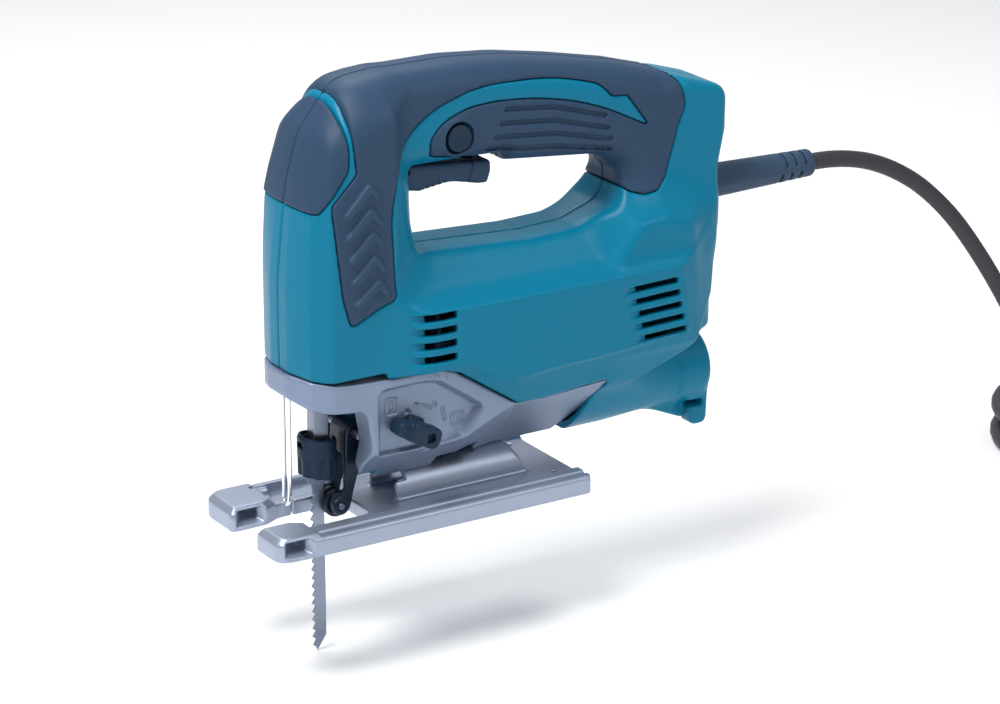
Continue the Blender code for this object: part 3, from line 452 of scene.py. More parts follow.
def column_form(g):
    """The column over the blade: a flat face, two facets each side and a ridge beside the hand hole."""
    plan = [
        (-60.5, -7.5, 3), (-54.6, -21, 2.5), (-46, -26, 3.5), (-15, -26, 3), (3, -15.5, 5), (3, 15.5, 5),
        (-15, 26, 3), (-46, 26, 3.5), (-54.6, 21, 2.5), (-60.5, 7.5, 3),
    ]
    facets = outline(plan, g.x, g.y)
    side = outline(COLUMN, g.x, g.z)
    form = kept(facets, side, 7 + 20 * np.clip((g.z - 150) / 45, 0, 1))
    skirt = outline([(a * 1.02 + 0.2, b * 1.035, r) for a, b, r in plan], g.x, g.y)
    low = kept(skirt, g.z - 90.2 - 0 * g.x, 1.6)
    return merged(form, kept(low, -g.x - 12, 6), 1.2)


def handle_form(g):
    rim = np.clip(12 - (g.x - 128) * 0.55, 4.5, 12)
    side = outline(HANDLE, g.x, g.z)
    ring = carved(side, outline(HOLE, g.x, g.z), 2.0)
    return rimmed(ring, np.abs(g.y) - 17.5 + 0 * g.x, rim)


def body_form(g):
    side = outline(BODY, g.x, g.z)
    away = np.abs(g.y)
    flat = away - 33 + 0 * g.x
    half = rimmed(side, flat, 5)
    top = (g.z - 98 - 0.6 * (33 - away)) * 0.857
    wall = (g.z - 103 - 1.54 * (25 - away)) * 0.545
    ledge = merged(top, wall, 5)
    lip = [-60, 14, 19, 23.4, 33.4, 42.4, 60.5, 83.3, 100.7, 180]
    heights = [73, 72, 71, 68.5, 62.2, 60.8, 62.4, 63.2, 64, 72]
    drop = np.interp(g.x.ravel(), lip, heights).reshape(g.x.shape) - g.z
    bow = (away - 33 + np.clip(drop, 0, 1.3) + 0.35 * np.maximum(drop - 1.3, 0)) * 0.9
    rear = (away - 33 + 0.55 * (g.x - 132.5 + 0.12 * (g.z - 68))) * 0.87
    front = (away - 26 - 0.62 * (g.x + 14)) * 0.85
    form = kept(half, ledge + 0 * g.x, 0.8)
    for plane, soft in ((bow, 0.7), (rear, 0.8), (front, 3)):
        form = kept(form, plane, soft)
    return form


def rear_block(g):
    """The swelling behind the grip that the cord guard comes out of: it runs up into the handle's side."""
    away = np.abs(g.y)
    side = outline([
        (94, 60, 6), (150, 60, 20), (157.3, 96, 12), (150, 107, 8), (138, 114.5, 10), (124, 119, 8),
        (110, 118, 6), (99, 103, 6),
    ], g.x, g.z)
    plan = [(60, -30, 1), (136, -30, 14), (157.5, -16, 12), (157.5, 40, 2), (60, 40, 2)]
    corner = outline(plan, g.x, -away)
    swell = kept((side - 0.95 * (30 - away)) * 0.72, away - 30 + 0 * g.x, 1.2)
    return kept(kept(swell, corner, 3), 60 - g.z + 0 * g.x, 3)


def shroud_form(g):
    """The flank behind the gear casting, which narrows into the dust tube."""
    away = np.abs(g.y)
    flank = [(84, 20, 2), (84, 70, 2), (150, 70, 4), (142, 50, 8), (124, 27, 14), (103, 20, 8)]
    side = outline(flank, g.x, g.z)
    form = kept(side + 0 * g.y, away - 27.3 + 0.36 * np.maximum(g.x - 97, 0), 2)
    return kept(form, (away - 26 - 0.85 * (g.z - 46.5)) * 0.76 + 0 * g.x, 2)


def tube_form(g):
    pipe = bar(g.y, g.z, (0, TUBE_Z), 17.4, g.x, 60, 158, 5)
    pipe = merged(pipe, bar(g.y, g.z, (0, TUBE_Z), 18, g.x, 138, 158, 4), 1)
    neck = block(g, (86, -12, 44), (138, 12, 66), 3)
    return merged(pipe, neck, 6)


def outer_housing(g):
    """The whole plastic form, without its openings."""
    body = merged(body_form(g), rear_block(g), 4)
    form = merged(merged(column_form(g), handle_form(g), 5), body, 9)
    boss = bar(g.y, g.z, (0, LEAD_Z), 11.5, g.x, 120, 163.5, 5)
    form = merged(form, boss, 3)
    form = merged(form, merged(tube_form(g), shroud_form(g), 5), 2)
    return carved(form, outline(HOLE, g.x, g.z) + 0 * g.y, 2.5)


def pad_zones(g):
    """Where the near side's rubber lies: the nose, and the grip in its pieces."""
    low = 0.0 * g.y
    nose = outline(NOSE_PAD, g.x, g.z) + low
    column = outline(SIDE_PAD, g.x, g.z) + low
    arch = outline(ARCH_TOP, g.x, g.z) + low
    palm = outline(PALM, g.x, g.z) + low
    over = np.minimum(column, arch)
    return nose, over, palm


def recess_of(zone, skin, depth):
    """The pocket in the skin for a rubber pad, a seam's width larger than the pad."""
    return np.maximum(zone - SEAM_GAP, -skin - depth)


VENTS = [  # left and right end, middle height at each, half the height, length and depth of the scoop
    *((-10.3, 11.4, z, z, 1.65, 10.6, 3.6) for z in (96, 89.7, 83.4, 77.1)),
    *((98 + 1.4 * k, 127 + 1.3 * k, 90.6 - 5.95 * k, 91.4 - 5.95 * k, 1.4, 7, 2.0) for k in range(5)),
]
CHEVRONS = [
    [(-38.9, 146.4), (-28.2, 157.7), (-24.4, 153.6)],
    [(-38.1, 136.7), (-27.4, 147.1), (-23.6, 142.1)],
    [(-37.1, 126.4), (-26.6, 136.5), (-23.2, 132.4)],
    [(-35.8, 116.3), (-25.7, 125.8), (-22.4, 121.2)],
    [(-34.2, 106.5), (-23.9, 114.8), (-21.1, 110.3)],
]
GROOVES = [
    [(45.5, 179), (70, 176.5), (97, 168.6)], [(43.2, 173), (70, 170.5), (98.5, 162.8)],
    [(40.3, 167.2), (70, 164.6), (100, 157.6)], [(37.5, 161.8), (70, 158.6), (100.7, 152.4)],
]


def along(path, a, b):
    """Distance to a line of points."""
    nearest = 1e9
    for p, q in zip(path, path[1:]):
        da, db = q[0] - p[0], q[1] - p[1]
        t = np.clip(((a - p[0]) * da + (b - p[1]) * db) / (da * da + db * db), 0, 1)
        nearest = np.minimum(nearest, np.hypot(a - p[0] - t * da, b - p[1] - t * db))
    return nearest


def without_vents(form, outer, g):
    """The shell with its ventilation slots: each starts as a scoop and then goes right through."""
    for x0, x1, z0, z1, half, shallow, depth in VENTS:
        middle = z0 + (z1 - z0) * (g.x - x0) / (x1 - x0)
        slot = np.maximum(np.abs(g.z - middle) - half, np.abs(g.x - (x0 + x1) / 2) - (x1 - x0) / 2)
        slot = slot + 0 * g.y
        deep = np.where(g.x > x0 + shallow, 9, 0.15 + depth * np.clip((g.x - x0) / shallow, 0, 1))
        near = np.maximum(slot, g.y + 12)
        form = carved(form, np.maximum(near, -outer - deep), 0.6)
    return form


def build_near_and_far():
    """Both housing shells and their rubber, from the form of the near half."""
    g = Grid((-63, -36, 8), (168, 1.6, 204), HOUSING_STEP)
    outer = outer_housing(g)
    below = outline([*SEAM, (84, 27, 6), (84, 0, 2), (-80, 0, 2)], g.x, g.z) + 0 * g.y
    shell = np.maximum(outer, -outer - WALL)
    foot = [(146.5, 40, 2), (147.5, 22, 4), (148.5, 11.2, 4), (157.5, 11.2, 4), (158.6, 40, 2)]
    lug = kept(outline(foot, g.x, g.z) + 0 * g.y, np.abs(g.y + 9) - 4.5 + 0 * g.x, 1.2)
    lug = carved(lug, block(g, (145, -20, 20.3), (155, 0, 23.7), 0.5), 0.4)
    web = [(122, 24, 1), (134, 19.5, 6), (148, 13.5, 2), (150, 24, 1)]
    lug = merged(lug, kept(outline(web, g.x, g.z) + 0 * g.y, np.abs(g.y + 6) - 1.6 + 0 * g.x, 0.6), 0.8)
    shell = merged(shell, carved(lug, bar(g.y, g.z, (0, TUBE_Z), 16, g.x, 100, 190)), 1.5)
    shell = carved(shell, below, 0.9)
    for room in (
        block(g, (-70, -60, 0), (-20, 60, 73), 0.5),
        bar(g.y, g.z, (0, TUBE_Z), 14.5, g.x, 90, 190, 0.5),
        bar(g.y, g.z, (0, LEAD_Z), 8.3, g.x, 141, 190, 0.5),
        bar(g.y, g.z, (0, LEAD_Z), 11, g.x, 147, 152, 0.3),
        block(g, (131.5, -4.6, 83), (165.5, 4.6, 111), 0.5),
        block(g, (-3, -8.8, 140), (47.5, 8.8, 162), 1),
    ):
        shell = carved(shell, room, 0.6)
    nose, over, palm = pad_zones(g)
    ring = np.hypot(g.x - LOCK_X, g.z - LOCK_Z) + 0 * g.y
    palm_near = carved(palm, ring - LOCK_HOLE - 0.1, 0.3)
    with_lock = merged(shell, np.maximum(np.maximum(ring - LOCK_HOLE - 1.5, g.y + 9.6), outer + 0.3), 0.3)
    with_lock = carved(with_lock, np.maximum(ring - LOCK_HOLE, g.y + 11.2), 0.3)
    with_lock = carved(with_lock, np.maximum(ring - 4.7, g.y + 5), 0.2)
    with_wells = shell
    for _, x, z in SCREWS:
        wide = np.hypot(g.x - x, g.z - z) + 0 * g.y
        tower = np.maximum(np.maximum(wide - 6.2, g.y + 10.2), outer + 0.3)
        with_wells = merged(with_wells, tower, 0.4)
        with_wells = carved(with_wells, np.maximum(wide - 4, g.y + 12), 0.5)
        with_wells = carved(with_wells, np.maximum(wide - 2.4, g.y + 5), 0.2)
    for name, side_shell, side_palm in (("left", with_lock, palm_near), ("right", with_wells, palm)):
        zones = (nose, np.minimum(over, side_palm))
        for zone in zones:
            side_shell = carved(side_shell, recess_of(zone, outer, RUBBER_DEPTH), 0.35)
        side_shell = without_vents(side_shell, outer, g)
        side_shell = kept(side_shell, g.y + 0.15 + 0 * g.x, 0.4)
        flip = name == "right"
        field_piece(f"shell_{name}", side_shell, g, TEAL, "body", [f"housing_{name}"], flip)
        build_pads(name, zones, outer, g, flip)


def pad_in(zone, outer, g):
    """Rubber that fills a pocket and stands a little proud, with soft rims."""
    pad = kept(kept(zone + 0.05, outer - RUBBER_PROUD, 1.4), -outer - (RUBBER_DEPTH - 0.2), 0.3)
    return kept(pad, g.y + 0.2 + 0 * g.x, 0.4)


def build_pads(name, zones, outer, g, flip):
    nose, grip = (pad_in(zone, outer, g) for zone in zones)
    field_piece(f"nose_rubber_{name}", nose, g, RUBBER, "body", [f"nose_pad_{name}"], flip)
    for path in CHEVRONS:
        ridge = kept(along(path, g.x, g.z) - 1.7 + 0 * g.y, np.abs(outer - 0.5) - 1.7, 0.9)
        grip = merged(grip, np.maximum(ridge, g.y + 12), 0.7)
    if name == "left":
        rim = np.abs(np.hypot(g.x - LOCK_X, g.z - LOCK_Z) - LOCK_HOLE - 1.3) - 0.8 + 0 * g.y
        grip = merged(grip, np.maximum(kept(rim, np.abs(outer - 0.4) - 0.8, 0.6), g.y + 12), 0.5)
    for path in GROOVES:
        line = along(path, g.x, g.z) - 1.0 + 0 * g.y
        grip = carved(grip, np.maximum(np.maximum(line, -outer - 0.9), g.y + 10), 0.4)
    grip = carved(grip, block(g, (-3, -8.8, 140), (47.5, 8.8, 162), 1), 0.6)
    field_piece(f"grip_rubber_{name}", grip, g, RUBBER, "body", [f"handle_grip_{name}"], flip)


CASTING_SIDE = [
    (-60, 64, 3), (-54.6, 60.6, 5), (-48, 59, 5), (-39, 58, 5), (-32.8, 57.4, 3), (-29.5, 54.4, 4),
    (-27.3, 40, 8), (-29.6, 31, 4), (-27, 19, 4), (-14, 16, 4), (75, 15.5, 8), (84, 27, 8), (89, 33, 10),
    (94, 45, 4), (95, 49.3, 1),
]


def build_casting():
    """The gear casting between the plastic and the sole, with the lever's sunk panel on the near side."""
    g = Grid((-63, -29, 13), (97, 29, 78), CASTING_STEP)
    away = np.abs(g.y)
    top = [(x, z - 0.5, r) for x, z, r in reversed(SEAM)]
    top[-1] = (-61, 74.8, 1)
    side = outline([*CASTING_SIDE, *top], g.x, g.z)
    plan = [
        (-60.5, -7.5, 3), (-54.8, -21, 4), (-46, -26, 6), (30, -26, 20), (98, -27.5, 2), (98, 27.5, 2),
        (30, 26, 20), (-46, 26, 6), (-54.8, 21, 4), (-60.5, 7.5, 3),
    ]
    form = kept(side + 0 * g.y, outline(plan, g.x, g.y), 1.6)
    crease = 36.4 + 0.43 * np.clip(g.x - 21, 0, 25.6)
    steep = 1 - 0.15 * np.clip((g.x - 21) / 25.6, 0, 1)
    form = kept(form, (away - 26 - steep * (g.z - crease)) * 0.73, 1.2)
    skirt = np.minimum(away - 9.4 - np.maximum(g.z - 17, 0), 27 - g.z)
    form = kept(form, skirt * 0.8 + 0 * g.x, 1.0)
    walls = outline(RECESS, g.x, g.z)
    sink = kept((walls * 0.88 + 0.48 * (g.y + 26)) + 0 * g.y, g.y + 21.6 + 0 * g.x, 0.5)
    form = carved(form, np.maximum(sink, g.y + 21.5), 0.5)
    for x, z in ((-7.7, 51.5), (-3.4, 53.8), (5.9, 52.7)):
        form = carved(form, ball_of(g, (x, -22.2, z), 1.6), 0.3)
    arc = np.abs(np.hypot(g.x - LEVER_X, g.z - LEVER_Z) - 11.3)
    marks = [np.maximum(arc - 0.4, np.maximum(g.x - 4.6, -2.2 - g.x))]
    marks.append(along([(10.2, 50), (11.4, 44.8)], g.x, g.z) - 0.7)
    for x in (16.7, 18.2, 19.7):
        marks.append(along([(x, 45.0), (x - 0.3, 42.8)], g.x, g.z) - 0.42)
    for frame_side in (
        [(15.2, 41.6, 1), (20, 41, 1), (21.9, 46.2, 1), (14.6, 46.3, 1)],
        [(-18.3, 52.3, 1), (-12.7, 52.3, 1), (-12.6, 58.9, 1), (-18.2, 59.4, 1)],
    ):
        marks.append(np.abs(outline(frame_side, g.x, g.z)) - 0.4)
    marks.append(np.abs(along([(-15.4, 57), (-15.4, 54.6)], g.x, g.z) - 1.1) - 0.4)
    for mark in marks:
        form = carved(form, np.maximum(mark + 0 * g.y, g.y + 20.7), 0.15)
    for room in (
        bar(g.y, g.z, (0, BEVEL_Z), 12.8, g.x, -40, 110),
        bar(g.y, g.z, (0, BEVEL_Z), 21.5, g.x, 12, 34),
        block(g, (-52, -19, 62.5), (-24, 19, 100)),
        block(g, (-44.6, -3.6, 40), (-36, 3.6, 80)),
        block(g, (-47.6, -6.6, 61), (-33, 6.6, 80)),
        block(g, (-34, -13.3, 14), (-17.7, 13.3, 58.3), 2),
        bar(g.x, g.y, (ROD_X, 0), 9.5, g.z, 40, 60.6),
        bar(g.x, g.z, (LEVER_X, LEVER_Z), 3.3, g.y, -40, 10),
        block(g, (-9, -17, 36.5), (3, 12, 80)),
        block(g, (24, -20, 50), (82, 20, 90), 2),
        block(g, (0, -18.5, 58), (30, 23, 90), 2),
        block(g, (-57.6, -3.6, 56), (-52, 3.6, 70)),
    ):
        form = carved(form, room, 0.5)
    field_piece("gear_case", form, g, CASTING, "body", ["gear_casting"])


# ---- sole


def build_sole():
    g = Grid((-81, -37.2, -1.2), (81, 37.2, 22), SOLE_STEP)
    low = 0 * g.x + 0 * g.y + 0 * g.z
    away = np.abs(g.y)
    plan = [
        (79.5, -35.75, 2.5), (79.5, 35.75, 2.5), (-79.5, 35.75, 9), (-79.5, 8, 2), (-75, 7.6, 3),
        (-62, 8, 4), (-54, 12, 5), (-24, 12, 5), (-24, -18, 5), (-58, -18, 5), (-64, -14, 4),
        (-79.5, -14, 2), (-79.5, -35.75, 8),
    ]
    shape = outline(plan, g.x, g.y)
    form = kept(shape + low, np.abs(g.z - 3.5) - 3.5 + low, 0.7)
    rail = [
        (36.2, 0.5, 0.5), (36.2, 7.6, 0.6), (34.6, 8.8, 0.6), (31.9, 8.8, 0.5), (31.2, 7.9, 0.4),
        (29.6, 7.9, 0.4), (28.7, 9.1, 0.6), (24.4, 9.1, 1.0), (22.6, 6, 0.6), (22.6, 0.5, 0.5),
    ]
    rails = kept(outline(rail, away, g.z) + low, outline(plan, g.x, g.y) + low, 0.6)
    rails = kept(rails, -g.x - 59 + low, 1)
    form = merged(form, rails, 1.0)
    for head in (
        [(-79.5, -35.75, 8), (-57, -35.75, 2), (-57, -18.5, 2), (-64, -14, 3), (-79.5, -14, 3)],
        [(-79.5, 8, 3), (-62, 8, 3), (-56, 11, 2), (-55, 35.75, 2), (-79.5, 35.75, 9)],
    ):
        edge = outline(head, g.x, g.y) + low
        top = kept(edge, (edge + g.z - 7.9) * 0.707, 0.3)
        top = kept(top, np.abs(g.z - 5.6) - 4.9, 0.3)
        form = merged(form, top, 0.4)
    pocket = outline([(-54, 17, 3), (-26, 16, 4), (-26, 30, 4), (-50, 32, 4)], g.x, g.y) + low
    form = carved(form, kept(pocket, 5.2 - g.z + 0.06 * (g.x + 26) + low, 1.5), 0.8)
    saddle = bar(g.y, g.z, (0, BEVEL_Z), 12.5, g.x, -8, 61, 1.2)
    saddle = kept(saddle, (g.x - 61 + 0.55 * (g.z - 7)) * 0.88 + low, 2)
    saddle = kept(saddle, 1.0 - g.z + low, 0.5)
    form = merged(form, saddle, 1.6)
    hollow = kept(bar(g.y, g.z, (0, BEVEL_Z), 10, g.x, -20, 56, 2), 7 - g.z + low, 0.6)
    flare = 0.8 * (np.clip(away - 32, 0, 4) + np.clip(11.5 - g.y, 0, 4) * (g.y > 0))
    for room in (
        hollow,
        block(g, (-9, -9.9, 7), (-2, 9.9, 30), 0.5),
        block(g, (5, -9.5, -5), (46, 9.5, 7.6), 0.8),
        block(g, (4, -3.6, 10), (27, 3.6, 30), 1.5),
        np.maximum(np.abs(g.x + 69.9) - 4.4 - flare, np.abs(g.z - 5.8) - 2.4 - 0.5 * flare) + low,
    ):
        form = carved(form, room, 0.5)
    for x, y in ((-58, -24), (-47.5, 13.8), (-58.5, 28), (70, 20), (70, -19)):
        form = carved(form, bar(g.x, g.y, (x, y), 1.5, g.z, -5, 20, 0.3), 0.4)
    for side in (-1, 1):
        groove = block(g, (-52, side * 27.5 - 1, -3), (76, side * 27.5 + 1, 0.8), 0.3)
        form = carved(form, groove, 0.4)
    field_piece("shoe", form, g, SOLE, "sole", ["sole"])


# ---- rod, clamp, blade and roller


def build_blade():
    g = Grid((-47, -1.7, -62.3), (-36, 1.7, 35), 0.22)
    back, tips = BLADE_BACK, BLADE_TIPS
    edge = [
        (back, 33.5, 1), (tips + 1, 33.5, 1), (tips + 1, 24, 0.4), (tips - 1.3, 22.2, 0.4),
        (tips - 1.3, 19.5, 0.4), (tips + 1, 18, 0.5), (tips + 1.6, 14, 1),
    ]
    for k in range(18):
        z = 12 - 4 * k
        edge += [(tips + 1.9, z, 0.35), (tips + 0.05, z - 2.3, 0.05)]
    edge += [(tips + 1.8, -59.6, 0.3), (tips + 2.4, -61.2, 0.4), (back, -54.5, 1)]
    shape = outline(edge, g.x, g.z) + 0 * g.y
    tooth = np.floor((12.9 - g.z) / 4)
    lean = np.where(tooth % 2 == 0, 0.22, -0.22) * np.clip((tips + 2.2 - g.x) / 2, 0, 1) * (g.z < 13)
    thin = np.abs(g.y - lean) - np.where(g.z < 13, 0.6, 0.72)
    grind = np.abs(g.y - lean) - 0.6 + np.clip((tips + 2.0 - g.x) * 0.22, 0, 1)
    form = kept(shape, np.maximum(thin, np.where(g.z < 13, grind, -1)), 0.2)
    field_piece("saw_blade", form, g, BLADE, "plunger", ["blade"])


def build_clamp():
    g = Grid((-51, -10, 19), (-31, 10, 44), 0.3)
    turn = np.arctan2(g.y, g.x - ROD_X)
    wide = np.hypot(g.x - ROD_X, g.y)
    flutes = 8.15 + 0.42 * np.cos(9 * turn)
    blend_in = np.clip((g.z - 30) / 3, 0, 1)
    radius = flutes * (1 - blend_in) + 8.7 * blend_in
    form = np.maximum(wide - radius, 6.55 - wide) + 0 * g.z
    top = (g.z - 40.6 + 0.16 * (g.x - ROD_X)) * 0.98
    low = (21.9 - g.z - 0.17 * (g.x - ROD_X)) * 0.98
    form = kept(kept(form, top + 0 * g.y, 1.2), low + 0 * g.y, 0.8)
    for k in range(6):
        a = math.pi * k / 3 + 0.4
        facet = ((g.x - ROD_X) * math.cos(a) + g.y * math.sin(a)) * 0.8 + (g.z - 41) * 0.6 - 6.6
        form = kept(form, facet, 0.4)
    form = carved(form, np.maximum(wide - 7.9, np.abs(g.z - 38.3) - 2.4), 0.2)
    form = carved(form, block(g, (-60, -2.4, 36.2), (-41, 2.4, 39), 0.5), 0.3)
    field_piece("clamp_ring", form, g, DARK, "clamp", ["clamp_sleeve"])


def build_roller():
    g = Grid((-40.5, -5, 1), (-26.5, 5, 15), 0.22)
    wide = np.hypot(g.x - ROLLER_X, g.z - ROLLER_Z)
    profile = [
        (6.2, 4, 0.8), (6.2, 1.25, 0.3), (4.6, 0.9, 0.3), (4.6, -0.9, 0.3), (6.2, -1.25, 0.3),
        (6.2, -4, 0.8), (4.6, -4, 0.4), (4.2, -3.2, 0.3), (3, -3.2, 0.3), (2.8, -4, 0.3), (1.8, -4, 0.2),
        (1.8, 4, 0.2), (2.8, 4, 0.3), (3, 3.2, 0.3), (4.2, 3.2, 0.3), (4.6, 4, 0.4),
    ]
    form = outline(profile, wide, g.y + 0 * g.x)
    field_piece("roller_wheel", form, g, BLACK, "roller", ["guide_roller"])
    g = Grid((-39, -8.4, 2.5), (-20, 8.4, 47), 0.3)
    side = [
        (-37.2, 4.5, 4.5), (-29, 3.6, 4.5), (-26.5, 14, 6), (-22, 30, 6), (-21.8, 45, 4), (-30, 45.4, 4),
        (-31.2, 30, 6), (-35.5, 16, 5), (-38, 10, 4),
    ]
    form = kept(outline(side, g.x, g.z) + 0 * g.y, np.abs(g.y) - 7.2 + 0 * g.x, 1.2)
    for room in (
        block(g, (-45, -4.5, -5), (-23.6, 4.5, 31), 1.2),
        block(g, (-45, -9, -5), (-37.0, 9, 3), 0.5),
        block(g, (-45, -4.5, 14.8), (-31.4, 4.5, 50), 0.8),
        block(g, (-45, -9, 14.4), (-30.8, 9, 50), 1.5),
        bar(g.x, g.z, (ROLLER_X, ROLLER_Z), 1.75, g.y, -20, 20),
        bar(g.x, g.z, (ARM_X, ARM_Z), 2.3, g.y, -20, 20),
    ):
        form = carved(form, room, 0.4)
    boss = np.maximum(bar(g.x, g.z, (ROLLER_X, ROLLER_Z), 4.1, g.y, -8, 8, 0.5), 4.6 - np.abs(g.y))
    form = merged(form, np.maximum(boss, 1.8 - np.hypot(g.x - ROLLER_X, g.z - ROLLER_Z)), 0.6)
    field_piece("roller_fork", form, g, BLACK, "roller_swing", ["roller_arm"])
    g = Grid((-36, -8.8, 5), (-31, 8.8, 11), 0.2)
    pin = bar(g.x, g.z, (ROLLER_X, ROLLER_Z), 1.5, g.y, -8.3, 8.3, 0.5)
    field_piece("roller_axle", pin, g, STEEL, "roller_swing", ["roller_pin"])
    g = Grid((-29, -13.4, 38), (-23, 13.4, 44), 0.22)
    pin = bar(g.x, g.z, (ARM_X, ARM_Z), 2.0, g.y, -13, 13, 0.6)
    field_piece("fork_pivot", pin, g, STEEL, "body", ["arm_pivot_pin"])
    g = Grid((-22, -13.8, 21), (-16.8, 13.8, 59), 0.35)
    duct = block(g, (-20.8, -13, 22), (-18, 13, 58), 1.2)
    for y in (-9, 9):
        duct = merged(duct, block(g, (-21.2, y - 0.8, 24), (-18.5, y + 0.8, 56), 0.4), 0.5)
    field_piece("chip_scoop", duct, g, TEAL, "body", ["chip_duct"])


# ---- the orbital lever, trigger, lock button, dial and screws


def build_controls():
    g = Grid((-21, -36, 36), (4, -21.6, 56), 0.28)
    tilt = math.radians(156)
    u = (g.x - LEVER_X) * math.cos(tilt) + (g.z - LEVER_Z) * math.sin(tilt)
    v = -(g.x - LEVER_X) * math.sin(tilt) + (g.z - LEVER_Z) * math.cos(tilt)
    near = outline([(-5.2, -5, 4), (9.6, -4.8, 1.6), (10.4, 4, 1.6), (-5.2, 5, 4)], u, v) + 0 * g.y
    near = kept(near, np.abs(g.y + 30.8) - 3.9 + 0 * g.x, 1.4)
    paddle = outline([(-5, -4.2, 3), (15.6, -3.4, 3.2), (15.6, 3.6, 3.2), (-5, 4.2, 3)], u, v) + 0 * g.y
    paddle = kept(paddle, np.abs(g.y + 27.2) - 4.7 + 0 * g.x, 1.8)
    form = merged(near, paddle, 1.2)
    tab = outline([(1, -6.2, 1.5), (9, -6, 1.5), (9, -2, 1), (1, -2, 1)], u, v) + 0 * g.y
    form = merged(form, kept(tab, np.abs(g.y + 24.6) - 2 + 0 * g.x, 0.8), 0.8)
    form = carved(form, block(g, (-5, -40, 40.5), (-1, -32, 44.5), 0.4), 0.5)
    field_piece("mode_lever", form, g, DARK, "lever", ["orbital_lever"])

    g = Grid((-3, -9, 142), (47, 9, 160), 0.35)
    side = [
        (1, 146.6, 4), (8, 145.2, 6), (24, 147.2, 20), (38, 144, 6), (42.5, 143.7, 2), (44.3, 149, 2),
        (44.3, 154, 2), (1, 158.3, 3), (-1, 154, 4),
    ]
    form = kept(outline(side, g.x, g.z) + 0 * g.y, np.abs(g.y) - 8.2 + 0 * g.x, 3.2)
    step = np.abs(g.x - 31.5 - 0.3 * (g.z - 144)) - 0.35 + 0 * g.y
    form = carved(form, np.maximum(step, -form - 0.5), 0.3)
    for x in (11, 14, 17, 20):
        line = np.abs(g.x - x) - 0.45 + 0 * g.y + 0 * g.z
        form = carved(form, np.maximum(np.maximum(line, -form - 0.4), g.z - 149.5), 0.3)
    form = carved(form, bar(g.x, g.z, (1.5, 155), 1.3, g.y, -20, 20), 0.2)
    form = carved(form, bar(g.x, g.y, (36, 0), 3.2, g.z, 149.5, 165, 0.3), 0.2)
    field_piece("trigger_lever", form, g, RUBBER, "trigger", ["trigger"])

    g = Grid((14.5, -19.2, 162), (29.5, -10.4, 177.5), 0.25)
    wide = np.hypot(g.x - LOCK_X, g.z - LOCK_Z)
    form = rimmed(wide - LOCK_RADIUS + 0 * g.y, np.abs(g.y + 16.5) - 2.0 + 0 * g.x, 0.8)
    form = carved(form, np.sqrt(wide**2 + (g.y + 40) ** 2) - 21.9, 0.6)
    form = merged(form, bar(g.x, g.z, (LOCK_X, LOCK_Z), 4.2, g.y, -16, -11.2), 0.5)
    form = carved(form, bar(g.x, g.z, (LOCK_X, LOCK_Z), 3.1, g.y, -14.2, -8), 0.2)
    field_piece("lock_cap", form, g, DARK, "lock", ["lock_button"])

    g = Grid((132, -5, 83.5), (159, 5, 110.5), 0.35)
    wide = np.hypot(g.x - DIAL_X, g.z - DIAL_Z)
    turn = np.arctan2(g.z - DIAL_Z, g.x - DIAL_X)
    form = rimmed(wide - 11.6 - 0.35 * np.cos(40 * turn) + 0 * g.y, np.abs(g.y) - 4.2 + 0 * g.x, 0.8)
    for side in (-1, 1):
        dish = bar(g.x, g.z, (DIAL_X, DIAL_Z), 7.5, g.y, side * 5 - 1.5, side * 5 + 1.5, 0.3)
        form = carved(form, dish, 0.4)
    field_piece("dial_wheel", form, g, DARK, "dial", ["speed_dial"])

    for name, x, z in SCREWS:
        g = Grid((x - 4.4, 3.4, z - 4.4), (x + 4.4, 15.2, z + 4.4), 0.22)
        wide = np.hypot(g.x - x, g.z - z)
        turn = np.arctan2(g.z - z, g.x - x)
        form = rimmed(wide - 3.6 + 0 * g.y, np.abs(g.y - 13.25) - 1.25 + 0 * g.x, 0.7)
        thread = 1.85 + 0.15 * np.cos(2 * math.pi * g.y / 1.4 + turn)
        form = merged(form, np.maximum(wide - thread, np.abs(g.y - 8.5) - 4.5), 0.3)
        star = 1.55 + 0.3 * np.cos(6 * turn)
        form = carved(form, np.maximum(wide - star, 12.9 - g.y), 0.1)
        field_piece(f"housing_screw_{name}", form, g, STEEL, "body", [f"screw_{name}"])


# ---- wire guard, cord guard, cord and plug


def tube_through(name, points, radius, material):
    """A round wire or cord as a curve of one open spline through points in millimetres."""
    data = bpy.data.curves.new(name, "CURVE")
    data.dimensions = "3D"
    data.bevel_depth = radius * MM
    data.bevel_resolution = 6
    data.use_fill_caps = True
    spline = data.splines.new("POLY")
    spline.points.add(len(points) - 1)
    for spot, point in zip(spline.points, points):
        spot.co = (*(Vector(point) * MM), 1)
    data.materials.append(material)
    made = bpy.data.objects.new(name, data)
    bpy.context.scene.collection.objects.link(made)
    return made


def smooth_path(points, per_span):
    """Points on a smooth curve through the given ones."""
    points = [Vector(p) for p in points]
    ends = [2 * points[0] - points[1], *points, 2 * points[-1] - points[-2]]
    path = []
    for a, b, c, d in zip(ends, ends[1:], ends[2:], ends[3:]):
        for k in range(per_span):
            t = k / per_span
            bend = (2 * a - 5 * b + 4 * c - d) * t**2 + (3 * b - a - 3 * c + d) * t**3
            path.append((2 * b + (c - a) * t + bend) / 2)
    return [*path, points[-1]]


